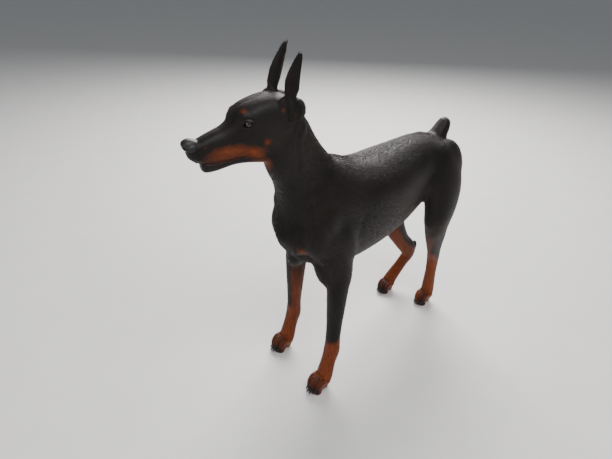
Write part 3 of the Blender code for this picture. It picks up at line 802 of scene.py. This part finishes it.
# The clefts between the toes and the rise of each knuckle
for name in SIDES:
    for _, centre, size in paws(name):
        toes = list(toe_frames(centre, *size))
        for (place, x, r, reach), (_, other, _, longer) in zip(toes, toes[1:]):
            x, reach = (x + other) / 2, (reach + longer) / 2
            cleft = [
                (x, 0.000, 0.052),
                (x, -reach * 0.40, 0.052),
                (x, -reach * 0.80, 0.040),
                (x, -reach * 1.04, 0.020),
                (x, -reach * 1.00, 0.004),
            ]
            carver.fold(cleft, 0.0042, 0.0026, place, fade=0.12)
        for place, x, r, reach in toes:
            carver.swell((x, -reach * 0.50, 0.050), 0.0075, 0.0016, place)
carver.press()
skull_groove = [(0, -0.140, 0.034), (0, -0.115, 0.052), (0, -0.080, 0.066), (0, -0.05, 0.066)]
carver.fold(skull_groove, 0.0016, 0.0060, HEAD)
carver.press()

# The room for each eyeball, and the opening between its lids
for name, sign in SIDES.items():
    eye_place = HEAD @ Matrix.Translation((EYE[0] * sign, EYE[1], EYE[2]))
    room = bmesh.new()
    radius = EYE_RADIUS + 0.0004
    bmesh.ops.create_uvsphere(room, u_segments=40, v_segments=24, radius=radius, matrix=eye_place)
    cut(skin, shaped(room, "room"))
    opening = bmesh.new()
    outward = Matrix.Rotation(math.radians(54 * sign), 4, "Z")
    slant = Matrix.Rotation(math.radians(-10 * sign), 4, "Y")
    opening_place = eye_place @ (outward @ slant)
    add_ball(opening, (0, -0.014, 0), (0.0105, 0.0140, 0.0056), place=opening_place, parts=40)
    cut(skin, shaped(opening, "opening"))

# One face in six goes, where the skin is flattest. The skin then draws in to leave room for the hair, and
# the soles stay just above the floor.
HAIR_ROOM = 0.0006
FLOOR_GAP = 0.0002
even = skin.modifiers.new("even", "DECIMATE")
even.ratio = 0.83
settle(skin)
points = coordinates(skin.data)
normals = coordinates(skin.data, "normal")
points -= normals * HAIR_ROOM * np.clip(points[:, 2:] / 0.02, 0, 1)
points[:, 2] = np.maximum(points[:, 2], FLOOR_GAP)
skin.data.vertices.foreach_set("co", points.ravel())
skin.data.update()


# Markings of the coat. A marking is a closed form, and its share of a place is the depth of the place
# inside the form, in metres, so that the colour can fray where the share is near 0.


def within(points, centre, radii, turn=(0, 0, 0)):
    """How deep each point lies inside an ellipsoid."""
    matrix = Matrix.Identity(3)
    for axis, degrees in zip("ZYX", reversed(turn)):
        matrix = matrix @ Matrix.Rotation(math.radians(degrees), 3, axis)
    local = (points - np.array(centre)) @ np.array(matrix) / np.array(radii)
    size = np.linalg.norm(local, axis=1)
    return (1 - size) * min(radii)


def shared(*depths):
    """Depth inside the room that all the forms share."""
    return reduce(np.minimum, depths)


def joined(*depths):
    """Depth inside any of the forms."""
    return reduce(np.maximum, depths)


def rust_of(points):
    """Depth inside the rust markings, below 0 in the black."""
    x, y, z = points.T
    hx, hy, hz = in_head(points).T
    side = np.abs(hx)
    mirrored = np.column_stack([side, hy, hz])
    # The rear of the muzzle's side, from a line under the bridge down to the lips
    stations = [0.10, 0.12, 0.155, 0.19, 0.215, 0.25]
    above = np.interp(-hy, stations, [-0.042, -0.035, -0.023, -0.018, -0.022, -0.036])
    stations = [0.12, 0.14, 0.18, 0.208, 0.232, 0.248]
    lip = np.interp(-hy, stations, [-0.074, -0.062, -0.060, -0.059, -0.056, -0.051])
    depth = joined(
        shared(above - hz, -0.100 - hy, (hy + 0.240) * 0.30, side - 0.008, hz - lip) * 0.7,
        # The dot over the eye, the side of the nose, the cheek and the throat
        within(mirrored, (0.0290, -0.1365, 0.0450), (0.0085, 0.0085, 0.0075)),
        within(mirrored, (0.025, -0.234, -0.015), (0.011, 0.016, 0.011)) - 0.0085,
        within(mirrored, (0.051, -0.0975, -0.030), (0.012, 0.0095, 0.0095)),
        within(points, (0.016, -0.215, 0.735), (0.020, 0.050, 0.022), (-35, 0, 0)),
        # Before and under the root of the ear, and in its cup
        within(mirrored, (0.054, -0.0515, 0.0348), (0.0080, 0.0055, 0.0090)) - 0.0012,
        within(mirrored, (0.053, -0.0215, 0.0160), (0.0080, 0.0065, 0.0120)) - 0.0008,
        within(mirrored, (0.0500, -0.0290, 0.0700), (0.0120, 0.0150, 0.0330)) - 0.0065,
    )
    depth = np.where((hy < 0.02) & (z > 0.6), depth, -0.02)
    # Two patches on the breast
    flipped = np.column_stack([np.abs(x), y, z])
    breast = within(flipped, (0.048, -0.104, 0.458), (0.020, 0.044, 0.027), (0, -14, 0)) - 0.0065
    depth = joined(depth, breast)
    for name, sign in SIDES.items():
        # The foreleg from above the wrist down, and its inner side up to the elbow
        px, py = FORE_PAW[name]
        fore = shared(0.165 + 0.35 * (y - py - 0.037) - z, 0.16 - np.hypot(x - px, y - py))
        edge = (0.007 if sign < 0 else 0.013) + 0.06 * np.clip(z - 0.165, 0, 1)
        inner = shared((0.33 - z) * 0.12, (px - x) * sign - edge, 0.10 - np.hypot(x - px, y - py - 0.03))
        depth = joined(depth, fore, inner)
        # The hind leg from the hock down, and the inner side and front edge of the shank
        px, py = HIND_PAW[name]
        hock = Vector(HOCK[name])
        stifle = Vector(STIFLE[name])
        slant = hock.z + 0.016 - 0.8 * (y - hock.y + 0.006) - z
        below_hock = shared(slant, 0.14 - np.hypot(x - px, y - py), 0.24 - z)
        leg = np.clip((z - hock.z) / (stifle.z - hock.z), 0, 1)
        centre_x = hock.x + (stifle.x - hock.x) * leg
        centre_y = hock.y + (stifle.y - hock.y) * leg
        away = np.hypot(x - centre_x, y - centre_y)
        inside = shared(
            (centre_x - x) * sign - (0.004 if sign < 0 else 0.013),
            centre_y - SHANK_BOW[name] + 0.004 - y,
            0.10 - away,
            (0.40 - z) * 0.10,
            z - 0.10,
        )
        front = shared(centre_y - 0.024 - 0.016 * leg - y, 0.08 - away, (0.33 - z) * 0.10, z - 0.10)
        depth = joined(depth, below_hock, inside, front)
        # A black stripe down the back of the hock, and black pencil marks on the toes
        stripe = within(points, (hock.x, hock.y + 0.036, 0.150), (0.017, 0.028, 0.090))
        depth = shared(depth, -stripe)
        for _, centre, size in paws(name):
            for place, tx, r, reach in toe_frames(centre, *size):
                start = place @ Vector((tx, -reach * 0.38, 0.050))
                end = place @ Vector((tx, -reach * 1.02, 0.014))
                away, along = near_path(points, [start, end])
                depth = shared(depth, away - 0.0084 * along)
    under_tail = within(points, (0, 0.560, 0.622), (0.022, 0.026, 0.026)) - 0.004
    return joined(depth, under_tail)


def lie_of(points):
    """The way the hair lies at each point: back along the body, then turned on each part in order."""
    x, y, z = points.T
    hx, hy, hz = in_head(points).T
    legs = np.clip((0.44 - z) / 0.12, 0, 1)
    neck = np.clip((z - 0.60) / 0.06, 0, 1) * np.clip((0.05 - y) / 0.06, 0, 1)
    breast = np.clip((-0.06 - y) / 0.04, 0, 1) * np.clip((0.64 - z) / 0.05, 0, 1) * (z > 0.44)
    head = np.clip((0.012 - hy) / 0.02, 0, 1) * np.clip((hz + 0.105) / 0.02, 0, 1)
    ears = np.clip((hz - 0.045) / 0.02, 0, 1) * (hy > -0.06)
    way = np.tile([0.0, 0.93, -0.36], (len(points), 1))
    for part, towards in (
        (legs, (0, 0.12, -1.0)),
        (neck, (0, 0.50, -0.86)),
        (breast, (0, -0.05, -1.0)),
        (head, HEAD.to_3x3() @ Vector((0, 1, 0.04))),
        (ears, HEAD.to_3x3() @ Vector((0, 0.1, 1))),
    ):
        part = part[:, None]
        way = way * (1 - part) + np.array(towards) * part
    return way / np.linalg.norm(way, axis=1)[:, None]


def dark_of(points):
    """1 on the bare black rims of the lids and the lips, and at the nose."""
    head = in_head(points)
    side = np.column_stack([np.abs(head[:, 0]), head[:, 1], head[:, 2]])
    lips, _ = near_path(side, np.abs(np.array(mouth)) * [1, -1, -1])
    eye = np.linalg.norm(side - np.array(EYE), axis=1)
    rim = np.clip((0.0139 - eye) / 0.0012, 0, 1)
    return np.maximum(np.clip(1.6 - lips / 0.0028, 0, 1), rim)


def write_mask(mesh, name, values):
    layer = mesh.attributes.new(name, "FLOAT", "POINT")
    layer.data.foreach_set("value", np.ascontiguousarray(values, dtype=np.float32))


points = coordinates(skin.data)
write_mask(skin.data, "rust", np.clip(rust_of(points) * 100, -2, 2))
write_mask(skin.data, "bare", dark_of(points))
lie = lie_of(points)
layer = skin.data.attributes.new("lie", "FLOAT_VECTOR", "POINT")
layer.data.foreach_set("vector", np.ascontiguousarray(lie, dtype=np.float32).ravel())
write_mask(skin.data, "along", lie[:, 1] ** 2)
skin.data.transform(Matrix.Translation(SHIFT))

coat = Finish("short coat", 0.44, Specular_IOR_Level=0.20)
coat.feed("Sheen Weight", 0.10)
coat.feed("Sheen Roughness", 0.42)
coat.feed("Sheen Tint", (0.80, 0.66, 0.62))
rust = coat.mask("rust")
shade = coat.mask("shade")
bare = coat.mask("bare")
along = coat.mask("along")


def strands(across, lengthwise):
    """Noise drawn out along the hair, which lies back on the body and down on the legs."""
    back = coat.noise(1.0, (across, lengthwise, across))
    down = coat.noise(1.0, (across, across, lengthwise))
    return back * along + down * (1 - along)


fray = coat.noise(150, detail=3.0) - 0.5
patch = coat.noise(38) - 0.5
tan = (rust * 0.01 + fray * 0.010 + patch * 0.007).step(-0.0022, 0.0030)
hair = strands(900, 110)
clump = strands(190, 26)
wide = coat.noise(9.0, detail=3.0)
grain = hair * 0.5 + wide * 0.5 + shade * 0.05
black = coat.blend((0.0030, 0.0025, 0.0024), (0.0125, 0.0088, 0.0074), grain.step(0.32, 0.72))
tone = hair * 0.55 + clump * 0.45 + shade * 0.08
rusty = coat.blend((0.080, 0.0145, 0.0032), (0.205, 0.0440, 0.0090), tone.step(0.30, 0.70))
deep = coat.blend(rusty, (0.030, 0.0065, 0.0024), (1 - rust * 0.5).step(0.30, 1.0) * 0.80)
furred = coat.blend(black, deep, tan)
coat.feed("Base Color", coat.blend(furred, (0.0045, 0.0035, 0.0035), bare))
coat.feed("Roughness", (0.36 + hair * 0.20 + wide * 0.06) - bare * 0.10)
coat.feed("Normal", coat.bump(hair * 0.7 + clump * 0.3, 0.34, 0.0012))
coat.wear(skin)
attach(skin, "root")
not_flesh = ("eye", "nose", "foreclaw", "hindclaw")
flesh_nodes = [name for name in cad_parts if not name.startswith(not_flesh)]
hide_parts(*flesh_nodes)

# The eyes. A moist ball set deep between the lids, with a dark brown iris round a black pupil. Each ball
# is turned out and a little forward, and bulges over the iris.
for name, sign in SIDES.items():
    ball = bmesh.new()
    bmesh.ops.create_uvsphere(ball, u_segments=48, v_segments=32, radius=EYE_RADIUS - 0.0001)
    for vert in ball.verts:
        front = max(0.0, vert.co.normalized().z)
        vert.co *= 1 + 0.035 * max(0.0, front - 0.80) / 0.20
    gaze = Vector((math.sin(math.radians(40)) * sign, -math.cos(math.radians(40)), 0.02))
    aim = (HEAD.to_3x3() @ gaze).to_track_quat("Z", "Y").to_matrix().to_4x4()
    centre = HEAD @ Vector((EYE[0] * sign, EYE[1], EYE[2])) + SHIFT
    ball.transform(Matrix.Translation(centre) @ aim)
    eye = shaped(ball, "eyeball_" + name)
    facing = aim.to_3x3() @ Vector((0, 0, 1))
    forward = [(vert.co - centre).normalized().dot(facing) for vert in eye.data.vertices]
    write_mask(eye.data, "front", forward)
    wet = Finish("wet eye " + name, 0.06, Coat_Weight=0.5, Coat_Roughness=0.06)
    where = wet.mask("front")
    streak = wet.noise(420)
    iris = wet.blend((0.010, 0.004, 0.0025), (0.042, 0.017, 0.007), streak.step(0.30, 0.72))
    ring = wet.blend((0.010, 0.006, 0.005), iris, where.step(0.640, 0.700))
    pupil = wet.blend(ring, (0.001, 0.001, 0.001), where.step(0.905, 0.925))
    wet.feed("Base Color", pupil)
    wet.wear(eye)
    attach(eye, "root")
    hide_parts("eye_" + name)

# The nose. Bare leather over gristle, pebbled and moist, with a comma-shaped nostril on each side and a
# groove down the middle. It is modelled at a fine grain from the same rings as the solid.
rings = [
    Ring(0, -0.239, -0.013, 0.0130, 0.0140, 0.010),
    Ring(0, -0.249, -0.011, 0.0158, 0.0136, 0.0130, 0.0, 0.9),
    Ring(0, -0.257, -0.010, 0.0170, 0.0132, 0.0160, 0.0, 0.85),
    Ring(0, -0.266, -0.009, 0.0168, 0.0126, 0.0172, 0.1, 0.85),
    Ring(0, -0.274, -0.009, 0.0145, 0.0108, 0.0150, 0.1, 0.9),
    Ring(0, -0.2785, -0.010, 0.0080, 0.0065, 0.0090),
]
leather_bm = bmesh.new()
add_loft(leather_bm, rings, HEAD, steps=5, around=40)
for sign in SIDES.values():
    add_ball(leather_bm, (0.0122 * sign, -0.2690, -0.0100), (0.0046, 0.0068, 0.0076), place=HEAD)
    add_ball(leather_bm, (0.0135 * sign, -0.2600, -0.0120), (0.0066, 0.0130, 0.0090), place=HEAD)
leather = remeshed(leather_bm, "nose_leather", 0.0008)
relax(leather.data, 6)
for sign in SIDES.values():
    # The round of the nostril, and the slit that runs back from it
    for centre, radii, turn in (
        ((0.0088 * sign, -0.2770, -0.0090), (0.0036, 0.0080, 0.0032), (0, 25 * sign, 24 * sign)),
        ((0.0138 * sign, -0.2740, -0.0120), (0.0060, 0.0060, 0.0012), (0, 28 * sign, 10 * sign)),
    ):
        hole = bmesh.new()
        add_ball(hole, centre, radii, turn, HEAD, 24)
        cut(leather, shaped(hole, "nostril"))
nose_carver = Carver(leather.data)
groove = [(0, -0.279, 0.002), (0, -0.281, -0.012), (0, -0.276, -0.026)]
nose_carver.fold(groove, 0.0014, 0.0011, HEAD, fade=0.1)
nose_carver.press()
leather.data.transform(Matrix.Translation(SHIFT))
hide = Finish("nose leather", 0.5, Specular_IOR_Level=0.38)
pebbles = hide.make("ShaderNodeTexVoronoi", {"feature": "F1"}, {"Vector": hide.place(), "Scale": 1300.0})
hide.feed("Base Color", hide.blend((0.004, 0.004, 0.004), (0.016, 0.014, 0.014), pebbles))
hide.feed("Roughness", 0.40 + hide.noise(300) * 0.20)
hide.feed("Normal", hide.bump(1 - pebbles, 0.35, 0.0004))
hide.wear(leather)
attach(leather, "root")
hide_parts("nose")

# The claws. Short, curved horn, worn blunt by the ground, one from the tip of every toe.
horn = Finish("black horn", 0.30)
ridges = horn.noise(1.0, (700, 120, 250), 3.0)
horn.feed("Base Color", horn.blend((0.005, 0.0045, 0.004), (0.030, 0.024, 0.020), ridges.step(0.35, 0.75)))
horn.feed("Roughness", 0.24 + ridges * 0.22)
horn.feed("Normal", horn.bump(ridges, 0.3, 0.0004))
for name in SIDES:
    for paw, centre, size in paws(name):
        claw_bm = bmesh.new()
        for place, x, r, reach in toe_frames(centre, *size):
            root = -reach * 0.86
            rings = [
                Ring(x, root + 0.004, 0.0190, 0.0024, 0.0030, 0.0028),
                Ring(x, root, 0.0190, 0.0026, 0.0034, 0.0030),
                Ring(x, root - 0.006, 0.0170, 0.0026, 0.0034, 0.0030),
                Ring(x, root - 0.012, 0.0125, 0.0020, 0.0026, 0.0023),
                Ring(x, root - 0.015, 0.0080, 0.0009, 0.0011, 0.0011),
            ]
            add_loft(claw_bm, rings, place, steps=4, around=18)
        claw = shaped(claw_bm, "claws_%s_%s" % (paw, name))
        claw.data.transform(Matrix.Translation(SHIFT))
        horn.wear(claw)
        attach(claw, "root")
        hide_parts(*["%sclaw_%s_%d" % (paw, name, i) for i in range(1, 5)])


# The standing coat. Short, flat hair over the whole dog, in tufts a few millimetres long that lie along the
# body and overlap. They are closer where the coat breaks the outline: down the neck, on the breast, the
# belly line and the backs of the thighs and forelegs; on the face and feet they are tiny.
def chart(points):
    """The place of each point on an unwrap of the body: a tube for the trunk, the head and each leg."""
    x, y, z = points.T
    hx, hy, hz = in_head(points).T
    u = np.empty(len(points))
    v = np.empty(len(points))
    head = (hy < 0.010) & (hz > -0.110) & (z > 0.60)
    leg = (z < 0.40) & ~head
    body = ~head & ~leg
    turned = np.arctan2(x[body], z[body] - 0.55) / (2 * math.pi) + 0.5
    u[body] = 0.01 + 0.97 * turned
    v[body] = 0.51 + 0.47 * np.clip((y[body] + 0.26) / 0.86, 0, 1)
    turned = np.arctan2(hx[head], hz[head]) / (2 * math.pi) + 0.5
    u[head] = 0.01 + 0.46 * turned
    v[head] = 0.01 + 0.47 * np.clip((0.02 - hy[head]) / 0.31, 0, 1)
    for k, (name, (px, py)) in enumerate([*FORE_PAW.items(), *HIND_PAW.items()]):
        mine = leg & ((x > 0) == (name == "left")) & ((y > 0.18) == (k > 1))
        if k > 1:
            py = py + np.clip(z[mine] / 0.18, 0, 1) * (HOCK[name][1] - py)
        else:
            py = py + 0.037
        turned = np.arctan2(x[mine] - px, y[mine] - py) / (2 * math.pi) + 0.5
        u[mine] = 0.51 + 0.12 * k + 0.11 * turned
        v[mine] = 0.01 + 0.47 * np.clip(z[mine] / 0.42, 0, 1)
    return np.column_stack([u, v])


def ridge(points, path, width):
    away, _ = near_path(points, path)
    return np.exp(-((away / width) ** 2))


points = coordinates(skin.data) - np.array(SHIFT)
x, y, z = points.T
hx, hy, hz = in_head(points).T
on_head = np.clip((0.015 - hy) / 0.02, 0, 1) * np.clip((hz + 0.12) / 0.02, 0, 1) * (z > 0.6)
on_foot = np.clip((0.10 - z) / 0.04, 0, 1)
low_leg = np.clip((0.36 - z) / 0.08, 0, 1)
size = 1 - 0.55 * np.maximum(on_head, on_foot) - 0.15 * low_leg
size = size * (1 - 0.35 * np.clip((-0.15 - hy) / 0.06, 0, 1) * (on_head > 0))
thick = np.full(len(points), 0.45)
for sign in SIDES.values():
    behind_thigh = [
        (0.04 * sign, 0.57, 0.56),
        (0.07 * sign, 0.55, 0.46),
        (0.08 * sign, 0.52, 0.36),
        (0.06 * sign, 0.57, 0.22),
    ]
    behind_arm = [(0.085 * sign, 0.045, 0.42), (0.10 * sign, 0.03, 0.34), (0.11 * sign, 0.01, 0.20)]
    breast = [(0.03 * sign, -0.15, 0.56), (0.04 * sign, -0.14, 0.47), (0.06 * sign, -0.09, 0.38)]
    for path, width in ((behind_thigh, 0.035), (behind_arm, 0.03), (breast, 0.04)):
        thick += 0.6 * ridge(points, path, width)
under = [(0, -0.05, 0.34), (0, 0.10, 0.33), (0, 0.25, 0.37), (0, 0.36, 0.41)]
nape = [(0.02, -0.10, 0.85), (0.01, -0.04, 0.76), (0, 0.03, 0.69), (0, 0.20, 0.655), (0, 0.45, 0.665)]
thick += 0.6 * (ridge(points, under, 0.05) + ridge(points, nape, 0.025))
thick += 0.9 * on_head + 1.1 * on_foot
bare_here = np.array([entry.value for entry in skin.data.attributes["bare"].data])
near_eyes = np.linalg.norm(np.column_stack([np.abs(hx), hy, hz]) - np.array(EYE), axis=1)
tip = np.linalg.norm(np.column_stack([hx, hy, hz]) - np.array([0, -0.262, -0.010]), axis=1)
open_skin = (bare_here < 0.25) & (near_eyes > 0.0165) & (tip > 0.0230) & (z > 0.0080)
thick = np.clip(thick, 0, 1.8) * open_skin
write_mask(skin.data, "size", size)

# One tuft: a three-sided blade that lies along Y, with its root a little under the skin
tuft_bm = bmesh.new()
root = tuft_bm.verts.new((0, 0, -0.00035))
left = tuft_bm.verts.new((-0.00062, 0.0026, 0.0))
right = tuft_bm.verts.new((0.00062, 0.0026, 0.0))
crest = tuft_bm.verts.new((0, 0.0024, 0.00042))
end = tuft_bm.verts.new((0, 0.0088, 0.00030))
for face in (
    (root, left, crest),
    (root, crest, right),
    (left, end, crest),
    (crest, end, right),
    (root, right, left),
    (left, right, end),
):
    tuft_bm.faces.new(face)
patch_uv = tuft_bm.loops.layers.uv.new("OFBake")
for face in tuft_bm.faces:
    for loop in face.loops:
        where = loop.vert.co
        loop[patch_uv].uv = (0.5 + where.x / 0.0018, 0.05 + where.y / 0.0098)
tuft = shaped(tuft_bm, "tuft")

tree = bpy.data.node_groups.new("tufts", "GeometryNodeTree")
sockets = {}
for label, kind in (
    ("Geometry", "NodeSocketGeometry"),
    ("Tuft", "NodeSocketObject"),
    ("Density", "NodeSocketFloat"),
    ("Seed", "NodeSocketInt"),
    ("Lift", "NodeSocketFloat"),
    ("Material", "NodeSocketMaterial"),
):
    sockets[label] = tree.interface.new_socket(label, in_out="INPUT", socket_type=kind).identifier
tree.interface.new_socket("Geometry", in_out="OUTPUT", socket_type="NodeSocketGeometry")
given = tree.nodes.new("NodeGroupInput").outputs
result = tree.nodes.new("NodeGroupOutput")


def node(kind, links=(), **settings):
    """The first output of a new node. Each link names an input of it, with the value or output it gets."""
    made = tree.nodes.new(kind)
    for key, value in settings.items():
        setattr(made, key, value)
    for key, value in links:
        if isinstance(value, bpy.types.NodeSocket):
            tree.links.new(value, made.inputs[key])
        else:
            made.inputs[key].default_value = value
    return [out for out in made.outputs if out.enabled][0]


def stored(name, kind="FLOAT"):
    return node("GeometryNodeInputNamedAttribute", [("Name", name)], data_type=kind)


def store(points, name, value, kind="FLOAT"):
    links = [("Geometry", points), ("Name", name), ("Value", value)]
    return node("GeometryNodeStoreNamedAttribute", links, data_type=kind)


def product(a, b):
    return node("ShaderNodeMath", [(0, a), (1, b)], operation="MULTIPLY")


def chance(low, high, seed):
    """A number drawn for each tuft."""
    return node("FunctionNodeRandomValue", [("Min", low), ("Max", high), ("Seed", seed)], data_type="FLOAT")


# The tufts' places, each with its root and a shade of its own
rate = product(stored("thick"), given["Density"])
scatter = node(
    "GeometryNodeDistributePointsOnFaces",
    [("Mesh", given["Geometry"]), ("Density", rate), ("Seed", given["Seed"])],
)
rooted = store(scatter, "root", node("GeometryNodeInputPosition"), "FLOAT_VECTOR")
shaded = store(rooted, "shade", chance(-1.0, 1.0, 5))
# Each tuft stands on the skin, is turned the way the hair lies, then lifted and swung a little
upright = node("FunctionNodeAlignRotationToVector", [("Vector", scatter.node.outputs["Normal"])], axis="Z")
laid = node(
    "FunctionNodeAlignRotationToVector",
    [("Rotation", upright), ("Vector", stored("lie", "FLOAT_VECTOR"))],
    axis="Y",
    pivot_axis="Z",
)
tip_up = chance(product(given["Lift"], 0.2), given["Lift"], 7)
bend = node("ShaderNodeCombineXYZ", [("X", tip_up), ("Z", chance(-0.22, 0.22, 9))])
spin = node("FunctionNodeEulerToRotation", [(0, bend)])
turns = [("Rotation", laid), ("Rotate By", spin)]
turned = node("FunctionNodeRotateRotation", turns, rotation_space="LOCAL")
scaled = product(stored("size"), chance(0.75, 1.20, 11))
blade = node("GeometryNodeObjectInfo", [("Object", given["Tuft"])]).node.outputs["Geometry"]
planted = node(
    "GeometryNodeInstanceOnPoints",
    [("Points", shaded), ("Instance", blade), ("Rotation", turned), ("Scale", scaled)],
)
real = node("GeometryNodeRealizeInstances", [("Geometry", planted)])
dressed = node("GeometryNodeSetMaterial", [("Geometry", real), ("Material", given["Material"])])
tree.links.new(dressed, result.inputs[0])


def plant(label, where, density, seed, lift, nodes):
    """Tufts over one region of the skin, as one plain mesh with its places on the unwrap."""
    patch_mesh = skin.data.copy()
    write_mask(patch_mesh, "thick", thick * where)
    piece = placed(label, patch_mesh)
    grow = piece.modifiers.new("tufts", "NODES")
    grow.node_group = tree
    values = {"Tuft": tuft, "Density": density, "Seed": seed, "Lift": lift, "Material": coat.material}
    for key, value in values.items():
        grow[sockets[key]] = value
    settle(piece)
    mesh = piece.data
    roots = np.empty(len(mesh.vertices) * 3)
    mesh.attributes["root"].data.foreach_get("vector", roots)
    ends = np.empty(len(mesh.loops), int)
    mesh.loops.foreach_get("vertex_index", ends)
    own = np.empty(len(mesh.loops) * 2)
    mesh.uv_layers["OFBake"].data.foreach_get("uv", own)
    spot = chart(roots.reshape(-1, 3) - np.array(SHIFT))[ends]
    spot = spot + (own.reshape(-1, 2) - 0.5) * 0.003
    mesh.uv_layers["OFBake"].data.foreach_set("uv", spot.ravel())
    for spare in ("root", "lie", "size"):
        if spare in mesh.attributes:
            mesh.attributes.remove(mesh.attributes[spare])
    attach(piece, "root")
    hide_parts(*nodes)


head_here = (on_head > 0.5).astype(float)
legs_here = ((z < 0.40) & (on_head <= 0.5)).astype(float)
trunk_here = (1 - head_here) * (1 - legs_here)
fore_trunk = trunk_here * (y < 0.16)
hind_trunk = trunk_here * (y >= 0.16)
plant("head_tufts", head_here, 200000, 3, 0.12, ["head"])
plant("fore_tufts", fore_trunk, 140000, 4, 0.11, ["neck", "torso"])
plant("hind_tufts", hind_trunk, 140000, 5, 0.11, ["torso", "tail"])
plant("foreleg_tufts", legs_here * (y < 0.18), 110000, 6, 0.15, ["forearm_left"])
plant("hindleg_tufts", legs_here * (y >= 0.18), 110000, 7, 0.15, ["hock_left"])
bpy.data.objects.remove(tuft)
